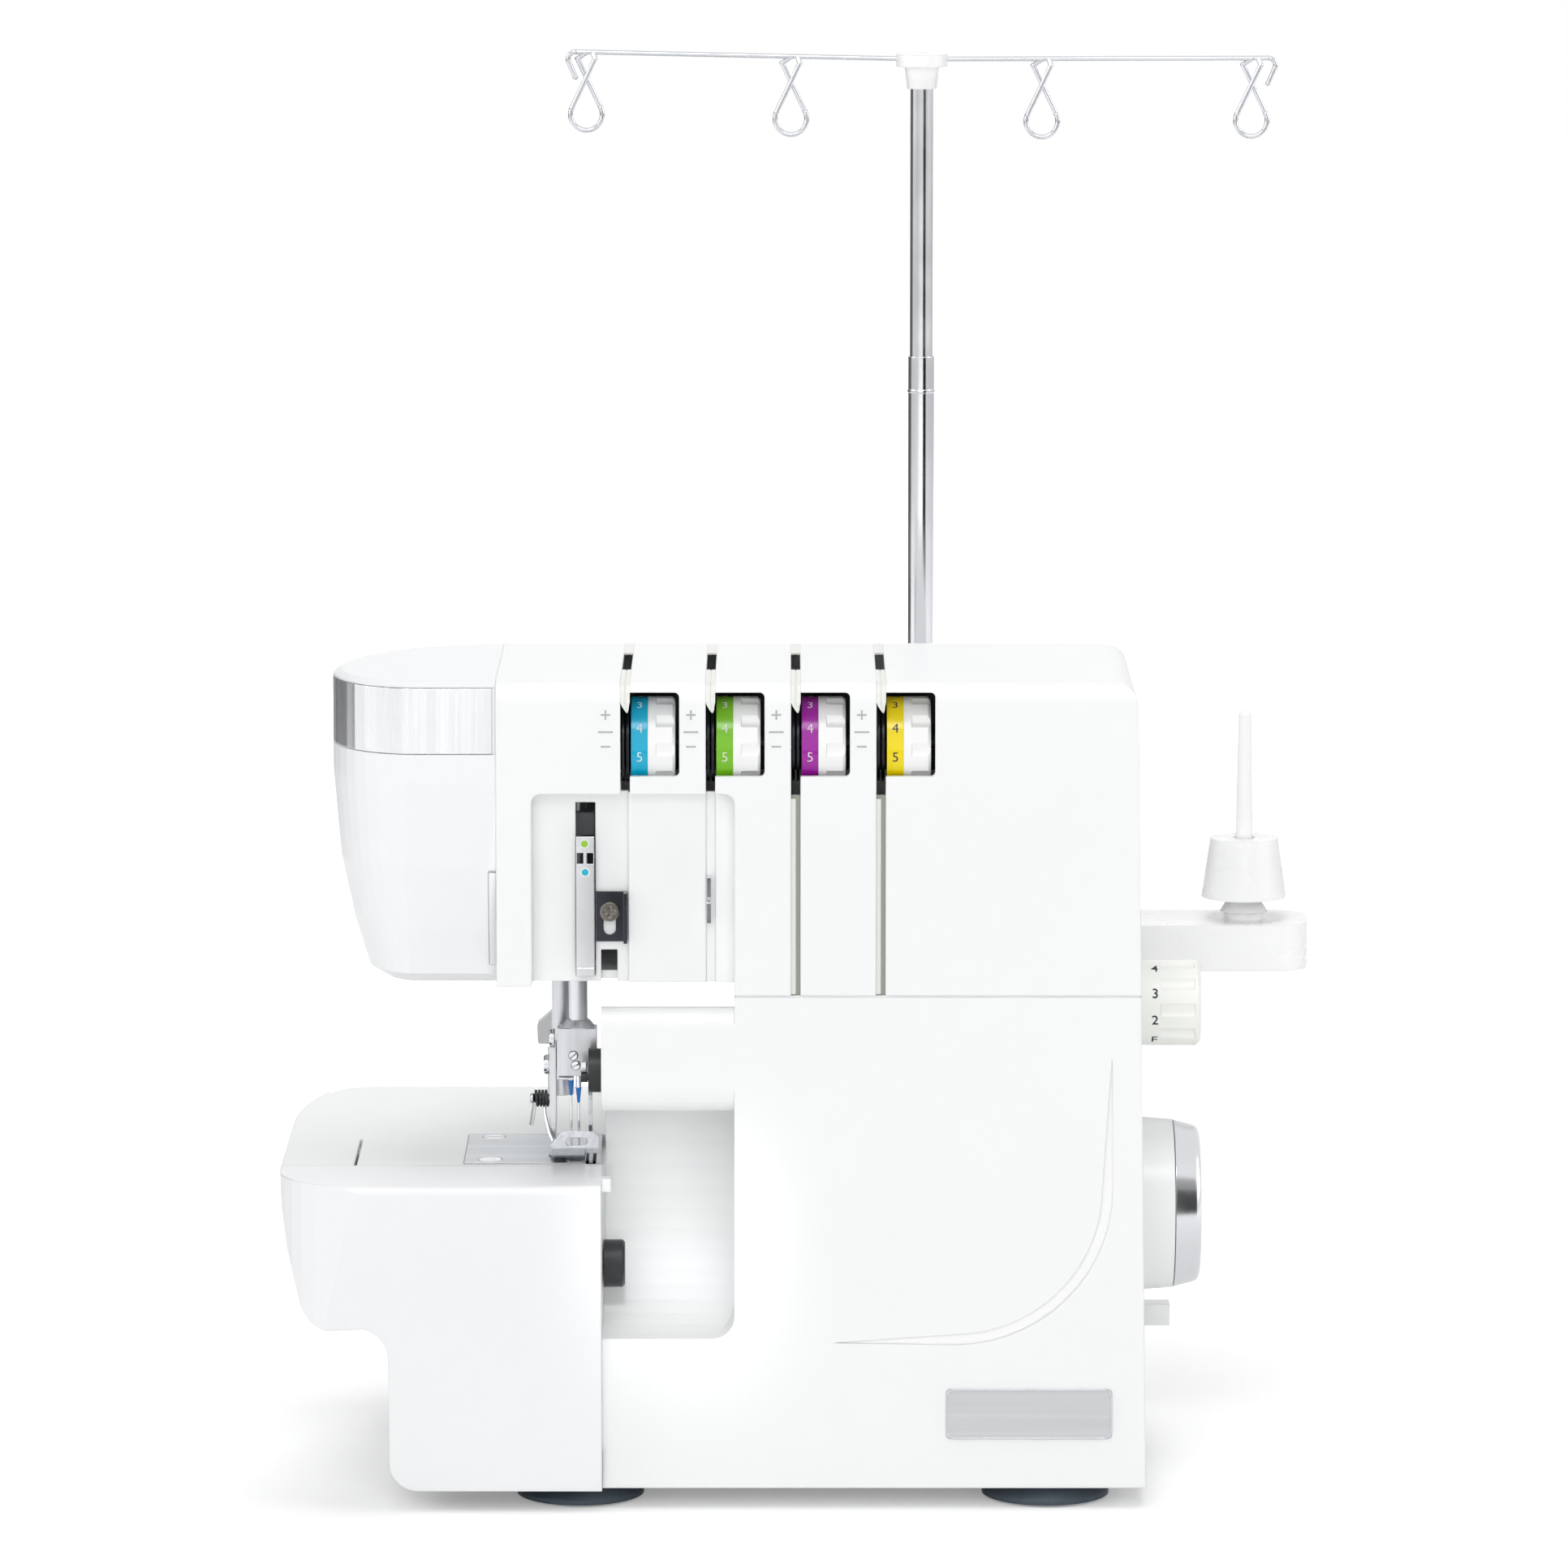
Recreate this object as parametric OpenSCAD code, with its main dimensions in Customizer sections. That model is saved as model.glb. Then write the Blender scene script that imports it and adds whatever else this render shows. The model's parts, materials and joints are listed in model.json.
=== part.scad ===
// Overlock sewing machine for two needles and two loopers, with four tension dials,
// a hinged looper cover and a telescoping thread guide over a four-pin spool tray.
// Millimetres, +Z up. The front faces -Y and the handwheel is on the +X side.
// The origin lies on the table, under the middle of the machine.

/* [Body] */
// Height of the top over the table
body_h = 287; // [276:1:305]
// Height of the parting line between the lower and the upper housing
seam_z = 179; // [176:0.5:181]
// Height of the rubber feet
foot_h = 7; // [5:0.5:9]
// Diameter of a rubber foot
foot_d = 44; // [30:1:50]
// Distance from the origin to the right wall, at the top
right_reach = 112; // [108:1:120]
// Outward draft of the right wall from the top down to the base
side_draft = 4; // [0:0.5:6]
// Distance from the origin to the left side of the column
column_reach = 25.5; // [22:0.5:29]
// Distance from the origin to the front face of the column
front_reach = 104; // [100:1:108]
// Distance from the origin to the back of the machine
rear_reach = 68; // [62:1:76]
// Depth of the rear cover
rear_cover_d = 28; // [20:1:34]
// Wall thickness of the moulded housings
wall = 2.8; // [2:0.1:3.6]

/* [Arm] */
// Reach of the arm from the column to the face cover
arm_reach = 81; // [76:1:90]
// Height of the underside of the arm
arm_z = 182; // [180:0.5:186]
// Depth of the arm
arm_d = 102; // [92:1:110]
// Width of the face cover on the end of the arm
face_w = 57; // [48:1:64]
// Inward taper of the face cover towards its lower edge
face_taper = 12; // [4:1:16]
// Height of the satin band on the face cover
band_h = 24.5; // [16:0.5:30]
// Thickness of the satin band
band_t = 1.2; // [0.8:0.1:2]
// Depth of the threading recess in the arm, on the needle side
recess_d = 12; // [10:0.5:14]
// Depth of the top of the threading recess under the top of the machine
recess_drop = 38.5; // [37:0.5:46]

/* [Bed] */
// Height of the sewing bed
bed_z = 115; // [112:0.5:118]
// Distance from the origin to the left end of the bed
bed_reach = 182; // [176:1:190]
// Distance from the origin to the front of the bed
bed_front = 116; // [113:0.5:118]
// Thickness of the cloth plate
plate_t = 2.6; // [2:0.1:3.5]
// Depth of the looper cover, from the front of the bed to its seam
cover_d = 37.7; // [36:0.1:39]
// Wall thickness of the looper cover
cover_t = 2.4; // [1.8:0.1:3]
// Opening angle of the looper cover
cover_angle = 0; // [0:1:85]
// Width of the open scoop between the bed and the column
scoop_w = 45.5; // [40:0.5:50]
// Height of the front lip of the scoop
scoop_z = 59.4; // [50:0.1:66]
// Height of the scoop, from its front lip to its ceiling
scoop_h = 78; // [74:0.5:79]
// Height of the open gap between the arm and the shoulder beside the needles
shoulder_gap = 7.8; // [6:0.1:9]

/* [Needles] */
// Distance from the origin to the needle bar, to the left
needle_x = 79.5; // [78:0.5:81]
// Distance from the origin to the needle bar, to the front
needle_y = 70; // [69:0.5:71]
// Diameter of the needle bar
needle_bar_d = 6.4; // [5.6:0.1:7]
// Diameter of the presser bar
presser_bar_d = 6; // [5:0.1:6.6]
// Distance between the two needles
needle_pitch = 2.6; // [2.2:0.1:3]
// Thickness of the needle plate
needle_plate_t = 2; // [1.5:0.1:2.4]

/* [Controls] */
// Radius of a tension dial
dial_r = 16; // [14.5:0.5:17]
// Spacing of the tension dials
dial_pitch = 29; // [28:0.5:31]
// Width of a tension dial
dial_w = 15.4; // [13:0.1:16]
// Radius of the handwheel
wheel_r = 30; // [26:0.5:33]
// Width of the handwheel
wheel_w = 22; // [18:0.5:26]
// Radius of the stitch length dial
length_dial_r = 15; // [12:0.5:16]
// Radius of the cutting width knob
width_knob_r = 8.2; // [6:0.1:9]

/* [Thread stand] */
// Width of the spool tray
tray_w = 282; // [270:1:300]
// Depth of the spool tray
tray_d = 36; // [32:1:46]
// Height of the top of the spool tray
tray_z = 172; // [160:1:176]
// Height of a spool pin over the tray
pin_h = 76.5; // [60:0.5:90]
// Distance from the origin to the mast, to the right
mast_x = 41; // [36:1:46]
// Diameter of the lower mast tube
mast_d = 9.4; // [8.6:0.1:12]
// Height of the top of the lower mast tube
mast_joint_z = 377.5; // [340:0.5:400]
// Height of the top of the upper mast tube
mast_top_z = 482; // [460:1:500]
// Span of the thread guide bar between its two hooks
guide_span = 254; // [240:1:270]
// Diameter of the guide wire
wire_d = 1.8; // [1.5:0.1:2.4]
// Wall thickness of the mast tubes
tube_wall = 0.5; // [0.4:0.1:0.8]

/* [Hidden] */
$fn = 64;

// Clearances
seat = 0.2;
gap = 0.4;
run = 0.06;

// Places that follow from the driving dimensions
body_z = foot_h;
column_x = -column_reach;
face_x = column_x - arm_reach;
nose_x = face_x - face_w;
front_y = -front_reach;
rear_y = rear_reach;
split_y = rear_reach - rear_cover_d;
arm_rear_y = front_y + arm_d;
bed_x = -bed_reach;
bed_right = column_x - scoop_w;
scoop_r = scoop_h - 6;
brow_r = 10;
bed_y = -bed_front;
cover_y = bed_y + cover_d;
base_x = bed_x + 38;
overhang_z = bed_z - 51;
needle = [-needle_x, -needle_y];
presser = [-needle_x - 6.4, -needle_y + 9.5];
slot_x0 = face_x + 44;
slot_w = 3.2;
window_z = [body_h - 32.4, body_h - 3.7];
dial_y = front_y + dial_r + 2;
dial_z = window_z[1] - dial_r - 3.8;
pan_t = 3;
recess_x = [face_x + 12, column_x + 0.1];
recess_split = slot_x0 + 0.9;
recess_z = body_h - recess_drop;
shaft_y = -20;
shaft_z = 90;
shaft_r = 5;
mast_y = rear_y + 12 + tray_d / 2;

// ---- Helpers ----

function right_x(z) = right_reach + side_draft * (body_h - z) / (body_h - foot_h);

function slot_x(i) = slot_x0 + i * dial_pitch;

function arc(x, y, r, from, to, steps = 8) =
    [for (i = [0 : steps]) let (a = from + (to - from) * i / steps) [x + r * cos(a), y + r * sin(a)]];

module along_x(x0, x1) {
    translate([x0, 0, 0]) rotate([90, 0, 90]) linear_extrude(x1 - x0) children();
}

module along_y(y0, y1) {
    translate([0, y1, 0]) rotate([90, 0, 0]) linear_extrude(y1 - y0) children();
}

module along_z(z0, z1) {
    translate([0, 0, z0]) linear_extrude(z1 - z0) children();
}

module rod_x(x0, x1, r, y, z, r2 = 0) {
    translate([x0, y, z]) rotate([0, 90, 0]) cylinder(h = x1 - x0, r1 = r, r2 = r2 > 0 ? r2 : r);
}

module rod_y(y0, y1, r, x, z) {
    translate([x, y0, z]) rotate([-90, 0, 0]) cylinder(h = y1 - y0, r = r);
}

module rod_z(z0, z1, r, x, y, r2 = 0) {
    translate([x, y, z0]) cylinder(h = z1 - z0, r1 = r, r2 = r2 > 0 ? r2 : r);
}

module block(from, to) {
    translate(from) cube(to - from);
}

module rounded_rect(from, to, r) {
    translate([from.x + r, from.y]) square([to.x - from.x - 2 * r, to.y - from.y]);
    translate([from.x, from.y + r]) square([to.x - from.x, to.y - from.y - 2 * r]);
    for (x = [from.x + r, to.x - r], y = [from.y + r, to.y - r]) translate([x, y]) circle(r);
}

// ---- Outer form of the column and the arm, inset by a wall for the hollow ----

module column_outline(inset, floor_z) {
    corner_r = 9;
    polygon(concat(
        [[column_x + inset, floor_z], [right_x(floor_z) - inset, floor_z]],
        arc(right_x(body_h) - corner_r, body_h - corner_r, corner_r - inset, 0, 90),
        [[column_x + inset, body_h - inset]]));
}

module arm_outline(inset, left_x) {
    translate([left_x, arm_z + inset]) square([column_x + 20 - left_x, body_h - arm_z - 2 * inset]);
}

module side_outline(inset) {
    front_r = 7;
    rear_r = 16;
    rear_top = body_h - 36;
    crest_y = -6;
    polygon(concat(
        [[front_y + inset, -1], [rear_y - inset, -1]],
        arc(rear_y - rear_r, rear_top - rear_r, rear_r - inset, 0, 60),
        [[crest_y, body_h - inset]],
        arc(front_y + front_r, body_h - front_r, front_r - inset, 90, 180)));
}

module envelope(inset, floor_z, left_x) {
    difference() {
        intersection() {
            along_y(front_y + inset, rear_y - inset) {
                column_outline(inset, floor_z);
                arm_outline(inset, left_x);
            }
            along_x(face_x - 2, right_reach + 20) side_outline(inset);
        }
        block([face_x - 3, arm_rear_y - inset, arm_z - 1], [column_x + inset, rear_y + 1, body_h + 1]);
    }
}

// ---- Base ----

cover_hinge_y = bed_y + 11.5;
cover_hinge_z = foot_h + 5.5;
hinge_rod_r = 1.5;
hinge_ear = 4;
ear_x = [base_x + 10, bed_right - wall - gap - hinge_ear];

// Footprint of the base pan, which the housings stand on and round
module pan_plate(grow) {
    back = rear_y - wall - gap + grow;
    block([base_x + 4 - grow, cover_y + gap - grow, body_z - grow], [bed_right + wall + 1, back, body_z + pan_t + grow]);
    block([bed_right + wall + gap - grow, front_y + wall + gap - grow, body_z - grow],
        [right_x(body_z) - wall - gap + grow, back, body_z + pan_t + grow]);
}

module base_pan() {
    vent = [4, 26];
    color("dimgray") {
        difference() {
            pan_plate(0);
            for (i = [0 : 6], j = [0 : 1])
                translate([motor_x[0] - 36 + i * 9, split_y - 70 + j * (vent.y + 10), body_z - 1])
                    cube([vent.x, vent.y, pan_t + 2]);
        }
        // ears and rod of the looper cover hinge
        for (x = ear_x) {
            block([x, cover_hinge_y - 1.2, cover_hinge_z - hinge_rod_r], [x + hinge_ear, cover_y + gap + 5, cover_hinge_z + 3]);
            block([x, cover_y + gap, body_z], [x + hinge_ear, cover_y + gap + 5, cover_hinge_z + 3]);
        }
        rod_x(ear_x[0] + 1, ear_x[1] + hinge_ear - 1, hinge_rod_r, cover_hinge_y, cover_hinge_z);
    }
}

module rubber_feet() {
    r = foot_d / 2;
    color("slategray")
        for (x = [bed_right - 8, right_reach - 30], y = [front_y + r, rear_y - r - 4])
            translate([x, y, 0]) rotate_extrude()
                polygon([[0, 0], [r - 4, 0], [r - 3, 0.8], [r, 0.8], [r, 2.4], [r - 6, body_z], [0, body_z]]);
}

// ---- Housings ----

// Concave scoop between the bed and the column, open to the front and to the left
module scoop(grow) {
    corner = 8;
    right = column_x + grow;
    low = scoop_z - grow;
    ceiling = scoop_z + scoop_h;
    back_y = front_y + scoop_r + grow;
    intersection() {
        along_x(bed_right - 20, column_x + grow)
            polygon(concat(
                [[front_y - 30, low]],
                arc(front_y, scoop_z + scoop_r, scoop_r + grow, 270, 360, 14),
                [[back_y, ceiling + grow]],
                arc(front_y + brow_r, ceiling + brow_r, brow_r - grow, 270, 180),
                [[front_y - 30, ceiling + brow_r]]));
        along_y(front_y - 31, rear_y + 1)
            polygon(concat(
                [[bed_right - 20, low]],
                arc(right - corner, low + corner, corner, 270, 360),
                [[right, ceiling + brow_r + 1], [bed_right - 20, ceiling + brow_r + 1]]));
    }
}

// Shoulder beside the needles, which falls away towards the rear
module base_block(inset, floor_z) {
    lean = 78;
    front_r = 6;
    back_r = 10;
    front_z = arm_z - shoulder_gap - front_r;
    depth = rear_y - front_y - front_r - back_r;
    rear_z = front_z - (back_r - front_r + depth * cos(lean)) / sin(lean);
    along_x(bed_right + inset, column_x + 10)
        polygon(concat(
            [[front_y + inset, floor_z], [rear_y - inset, floor_z]],
            arc(rear_y - back_r, rear_z, back_r - inset, 0, lean),
            arc(front_y + front_r, front_z, front_r - inset, lean, 180)));
}

module lower_form(inset, floor_z) {
    intersection() {
        union() {
            envelope(inset, floor_z, face_x);
            base_block(inset, floor_z);
        }
        block([bed_right + inset, front_y - 1, floor_z], [right_reach + 20, rear_y + 1, seam_z + 1]);
    }
}

module styling_groove() {
    turn = [right_reach - 62, scoop_z + 52];
    radius = 54;
    w = 3;
    along_y(front_y - 1, front_y + 0.7)
        difference() {
            polygon(concat(
                [[turn.x - 42, turn.y - radius + 0.6]],
                arc(turn.x, turn.y, radius, 270, 360, 14),
                [[turn.x + radius - 0.4, turn.y + 46]],
                arc(turn.x - 0.4, turn.y + 0.4, radius - w, 360, 270, 14)));
        }
}

module lower_housing() {
    lever_y = [shaft_y - lever_neck[0] / 2 - seat, shaft_y + lever_neck[0] / 2 + seat] + lever_travel;
    color("white")
        difference() {
            intersection() {
                difference() {
                    lower_form(0, body_z);
                    scoop(0);
                }
                block([bed_right, front_y - 1, body_z], [right_reach + 20, split_y, seam_z]);
            }
            difference() {
                lower_form(wall, body_z - 1);
                scoop(wall);
            }
            styling_groove();
            // parting line under the upper housing
            difference() {
                block([column_x - 1, front_y - 1, seam_z - 0.6], [right_reach + 20, split_y + 1, seam_z + 1]);
                envelope(0.5, body_z, face_x);
            }
            // bushing of the handwheel shaft
            rod_x(right_reach - 10, right_reach + 10, shaft_r + 3, shaft_y, shaft_z);
            // stitch length spindle
            rod_x(right_reach - 10, right_reach + 10, spindle_r + run, shaft_y, length_dial_z);
            // slot of the feed lever
            block([right_reach - 10, lever_y[0], lever_z - lever_neck[1] / 2 - seat],
                [right_reach + 10, lever_y[1], lever_z + lever_neck[1] / 2 + seat]);
            // power inlet and switch
            block([right_reach - 10, inlet_y[0], inlet_z[0]], [right_reach + 10, inlet_y[1], inlet_z[1]]);
            block([right_reach - 10, inlet_y[0], switch_z[0]], [right_reach + 10, inlet_y[1], switch_z[1]]);
            pan_plate(seat);
        }
}

module arm_recess(grow) {
    corner = 3.3;
    module pocket(left, right, depth, left_r, right_r) {
        along_y(front_y - 1, front_y + depth + grow)
            polygon(concat(
                [[left - grow, arm_z - 1], [right + grow, arm_z - 1]],
                right_r > 0 ? arc(right + grow - right_r, recess_z + grow - right_r, right_r, 0, 90)
                    : [[right + grow, recess_z + grow]],
                left_r > 0 ? arc(left - grow + left_r, recess_z + grow - left_r, left_r, 90, 180)
                    : [[left - grow, recess_z + grow]]));
    }
    pocket(recess_x[0], recess_split, recess_d, corner, 0);
    pocket(recess_split, recess_x[1], recess_d - 3, 0, corner);
}

module dial_window(i) {
    left = slot_x(i);
    along_y(front_y - 1, front_y + wall + 3)
        union() {
            rounded_rect([left, window_z[0]], [left + slot_w / 2 + dial_w + 1.4, window_z[1]], 1.6);
            translate([left, window_z[0]]) square([4, window_z[1] - window_z[0]]);
        }
}

module tension_slot(i) {
    x = slot_x(i);
    low = recess_z - 0.5;
    floor_y = i < 2 ? front_y + recess_d - 3 : front_y;
    block([x - slot_w / 2, front_y - 1, low], [x + slot_w / 2, -8, body_h + 1]);
    if (i > 0)
        block([x - slot_w / 2, floor_y - 1, seam_z - 1], [x + slot_w / 2, floor_y + 1.6, low + 1]);
}

module upper_housing() {
    hinge_x = presser.x - 7;
    ear = lifter_w / 2 + 0.3;
    color("white") {
        difference() {
            intersection() {
                envelope(0, seam_z, face_x);
                block([face_x, front_y - 1, seam_z], [right_reach + 20, split_y, body_h + 1]);
            }
            difference() {
                envelope(wall, seam_z - 1, face_x - 2);
                arm_recess(wall);
            }
            arm_recess(0);
            for (i = [0 : 3]) {
                dial_window(i);
                tension_slot(i);
                // room for the dial behind the roof of the recess
                rod_x(dial_x(i) - seat, dial_x(i) + dial_w, dial_r + 0.3, dial_y, dial_z);
            }
            // slot of the take-up lever
            block([needle.x - 0.2, front_y, arm_z + 2], [needle.x + 6.6, front_y + recess_d + wall + 1, arm_z + 62]);
            // passage of the needle bar and the presser bar through the underside
            block([presser.x - 5, needle.y - 12, arm_z - 1], [needle.x + 5, presser.y + 6, arm_z + wall + 1]);
            // passage of the upper knife drive
            block([needle.x + 8.4, front_y - 1, arm_z - 1], [needle.x + 14, front_y + recess_d + 6, arm_z + 11]);
        }
        // ears and pin of the presser foot lifter
        for (x = [hinge_x - ear - 2.4, hinge_x + ear])
            block([x, arm_rear_y - 1, lifter_pivot.y - 4], [x + 2.4, lifter_pivot.x + 3.4, lifter_pivot.y + 4]);
        rod_x(hinge_x - ear - 1, hinge_x + ear + 1, lifter_pin_r, lifter_pivot.x, lifter_pivot.y);
    }
}

module rear_cover() {
    color("white")
        difference() {
            intersection() {
                union() {
                    envelope(0, body_z, face_x);
                    base_block(0, body_z);
                }
                block([bed_right, split_y, body_z], [right_reach + 20, rear_y + 1, body_h]);
            }
            union() {
                envelope(wall, body_z - 1, face_x);
                base_block(wall, body_z - 1);
            }
            // grooved parting line towards the front housings
            difference() {
                block([bed_right - 1, split_y - 1, body_z - 1], [right_reach + 20, split_y + 0.6, body_h]);
                envelope(0.5, body_z - 2, face_x);
                base_block(0.5, body_z - 2);
            }
            // louvres of the motor
            for (i = [0 : 7])
                along_y(rear_y - wall - 1, rear_y + 1)
                    rounded_rect([0, 30 + i * 8], [52, 33.5 + i * 8], 1.5);
            // hand grip under the top edge
            along_y(rear_y - wall - 1, rear_y + 1) rounded_rect([-5, 196], [88, 218], 8);
            pan_plate(seat);
        }
}

// Outline of the face cover seen from above, drawn in by an inset
module nose_outline(inset) {
    front_corner = [30, 38];
    rear_r = arm_d - 2 - front_corner.y;
    center_y = front_y + front_corner.y;
    left = nose_x + inset;
    polygon(concat(
        [[face_x, front_y + inset]],
        [for (a = [270 : -9 : 180])
            [nose_x + front_corner.x + (front_corner.x - inset) * cos(a), center_y + (front_corner.y - inset) * sin(a)]],
        [for (a = [170 : -8 : 90])
            [nose_x + face_w + (face_w - inset) * cos(a), center_y + (rear_r - inset) * sin(a)]]));
}

module nose_slab(z, t, inset) {
    along_z(z, z + t) nose_outline(inset);
}

module face_form(inset) {
    low = arm_z - 1 + inset;
    high = body_h - band_h - 0.4;
    hull() {
        nose_slab(low, 0.4, face_taper + 6 + inset);
        nose_slab(low + 3.6, 0.4, face_taper + inset);
        nose_slab(low + 20, 0.4, face_taper * 0.58 + inset);
        nose_slab(low + 42, 0.4, face_taper * 0.2 + inset);
        nose_slab(high - 10, 10, inset);
    }
}

module face_cover() {
    band_z = body_h - band_h - 0.4;
    color("white") {
        difference() {
            face_form(0);
            face_form(wall);
            block([face_x - wall, front_y + wall, arm_z + 6], [face_x + 1, arm_rear_y - wall, band_z + 1]);
        }
        difference() {
            nose_slab(band_z, band_h - 1.6, band_t + 0.05);
            nose_slab(band_z - 1, band_h - 1.6 - wall + 1, band_t + wall);
        }
        hull() {
            nose_slab(body_h - 2, 0.6, 0.2);
            nose_slab(body_h - 0.4, 0.4, 3);
        }
    }
}

module face_band() {
    band_z = body_h - band_h - 0.4;
    color("silver")
        difference() {
            nose_slab(band_z + 0.3, band_h - 2.1, 0);
            nose_slab(band_z, band_h + 1, band_t);
            block([face_x - 1.2, front_y - 1, band_z - 1], [face_x + 1, arm_rear_y + 1, body_h + 1]);
        }
}

// ---- Bed ----

// Silhouette of the free-standing end of the bed, seen from the front
module bed_outline(inset, top) {
    under_r = 12;
    neck_r = 11;
    foot_r = 10;
    belly_z = overhang_z + under_r;
    polygon(concat(
        [[bed_right + 1, body_z + inset]],
        arc(base_x + foot_r, body_z + foot_r, foot_r - inset, 270, 180),
        arc(base_x - neck_r, overhang_z - neck_r + 1, neck_r + inset, 0, 78),
        arc(bed_x + 7 + under_r, belly_z, under_r - inset, 260, 190),
        [[bed_x + inset + 3, belly_z + 14], [bed_x + inset + 0.8, belly_z + 28], [bed_x + inset, top]],
        [[bed_right + 1, top]]));
}

// Outline of the bed seen from above
module bed_plan(inset) {
    front_r = 29;
    rear_r = 16;
    bulge = 190;
    left = bed_x + inset;
    polygon(concat(
        [[bed_right + 1, bed_y + inset]],
        arc(bed_x + front_r, bed_y + front_r, front_r - inset, 270, 180),
        [for (a = [180 : -3 : 162]) [bed_x + bulge + (bulge - inset) * cos(a), (bulge - inset) * sin(a)]],
        arc(bed_x + 10 + rear_r, rear_y - rear_r, rear_r - inset, 170, 90),
        [[bed_right + 1, rear_y - inset]]));
}

// Front of the bed seen from the side: the face leans out towards a fold and rounds over at the top
module bed_side(inset) {
    top_r = 3;
    fold_z = bed_z - 18;
    polygon(concat(
        [[bed_y + 7 + inset, body_z + inset], [rear_y - inset, body_z + inset], [rear_y - inset, bed_z - inset]],
        arc(bed_y + top_r, bed_z - top_r, top_r - inset * 0.7, 90, 180),
        [[bed_y + 0.6 + inset, fold_z]]));
}

module bed_form(inset) {
    intersection() {
        along_y(bed_y - 1, rear_y + 1) bed_outline(inset, bed_z - inset);
        along_z(body_z, bed_z) bed_plan(inset);
        along_x(bed_x - 1, bed_right + 1) bed_side(inset);
    }
}

module looper_cover() {
    lug = 4;
    lug_x = [ear_x[0] + hinge_ear + 0.3, ear_x[1] - 0.3 - lug];
    inner_y = bed_y + 7 + cover_t;
    tab = [3.2, 5, 4.6];
    color("white") translate([0, cover_hinge_y, cover_hinge_z]) rotate([cover_angle, 0, 0])
        translate([0, -cover_hinge_y, -cover_hinge_z]) {
            difference() {
                bed_form(0);
                difference() {
                    bed_form(cover_t);
                    // stiffening rib under the top flange
                    block([bed_x, cover_y - 8, bed_z - 6], [bed_right - wall - 1, cover_y - 6.5, bed_z]);
                }
                block([bed_x - 1, cover_y - 0.3, 0], [bed_right + 2, rear_y + 1, bed_z + 1]);
                block([bed_right, bed_y - 1, 0], [bed_right + 2, rear_y + 1, bed_z + 1]);
                // open underneath, with relief at the edge that dips as the cover swings
                block([base_x + 10, inner_y, 0], [bed_right + 1, cover_y, body_z + cover_t + 0.1]);
                block([bed_x - 1, cover_y - 1.6, 0], [bed_right + 1, cover_y, cover_hinge_z + 1]);
            }
            // hinge lugs on the hinge rod
            for (x = lug_x)
                difference() {
                    union() {
                        rod_x(x, x + lug, hinge_rod_r + 2.1, cover_hinge_y, cover_hinge_z);
                        block([x, inner_y - 0.4, cover_hinge_z - 3], [x + lug, cover_hinge_y, cover_hinge_z + 3]);
                    }
                    rod_x(x - 1, x + lug + 1, hinge_rod_r + run, cover_hinge_y, cover_hinge_z);
                }
            // thumb tab at the right end of the flange
            block([bed_right, cover_y - 24, bed_z - tab.z], [bed_right + tab.x, cover_y - 24 + tab.y, bed_z]);
        }
}

module bed_body() {
    deck_z = bed_z - plate_t;
    tongue_x = [needle.x - 46, needle.x - 25];
    color("whitesmoke")
        difference() {
            union() {
                difference() {
                    intersection() {
                        bed_form(0);
                        block([bed_x - 1, cover_y, body_z], [bed_right, rear_y + 1, deck_z]);
                    }
                    block([base_x + 3, cover_y - 1, body_z - 1], [bed_right - wall, wall_y, deck_z + 1]);
                    block([bed_x + 8, cover_y - 1, overhang_z + 4], [bed_right - wall, wall_y, deck_z + 1]);
                    block([base_x + wall + 1, wall_y + wall, body_z - 1], [bed_right - wall, rear_y - wall, deck_z - wall]);
                }
                // side wall between the looper space and the scoop
                along_x(bed_right - wall, bed_right)
                    polygon([[bed_y + 11, body_z + 14], [cover_y + 1, body_z], [cover_y + 1, deck_z],
                        [bed_y + 5, deck_z], [bed_y + 5, deck_z - 30]]);
                // tongue under the left edge of the needle plate
                block([tongue_x[0], cover_y, deck_z - 4], [tongue_x[1], wall_y + 1, deck_z]);
            }
            // opening under the needle plate
            block([tongue_x[1], cover_y - 1, deck_z - 20], [bed_right - wall, -26, deck_z + 1]);
            // bearings of the two looper shafts
            rod_y(wall_y - 1, wall_y + wall + 1, looper_shaft_r + run, lower_pivot.x, lower_pivot.y);
            rod_y(wall_y - 1, wall_y + wall + 1, looper_shaft_r + run, upper_pivot.x, upper_pivot.y);
            // bearing of the feed rod
            rod_y(wall_y - 1, wall_y + wall + 1, feed_rod_r + run, feed_rod.x, feed_rod.y);
            // cutting width spindle
            rod_x(bed_right - wall - 1, bed_right + 1, 2 + run, knob_y, knob_z);
            pan_plate(seat);
        }
}

module cloth_plate() {
    seam_x = needle.x - 19;
    slit = [bed_x + 25, bed_x + 26];
    color("white")
        difference() {
            intersection() {
                bed_form(0);
                block([bed_x - 1, cover_y, bed_z - plate_t], [bed_right, rear_y + 1, bed_z + 1]);
            }
            block([plate_x[0] - seat, plate_y[0] - seat, bed_z - plate_t - 1], [bed_right + 1, plate_y[1] + seat, bed_z + 1]);
            block([slit[0], cover_y - 1, bed_z - plate_t - 1], [slit[1], cover_y + 47, bed_z + 1]);
            block([seam_x, plate_y[1] + 18, bed_z - 1.2], [seam_x + 0.6, rear_y + 1, bed_z + 1]);
        }
}

plate_x = [-needle_x - 39.5, -needle_x + 7.3];
plate_y = [-needle_y - 5.6, -needle_y + 47];

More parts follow.
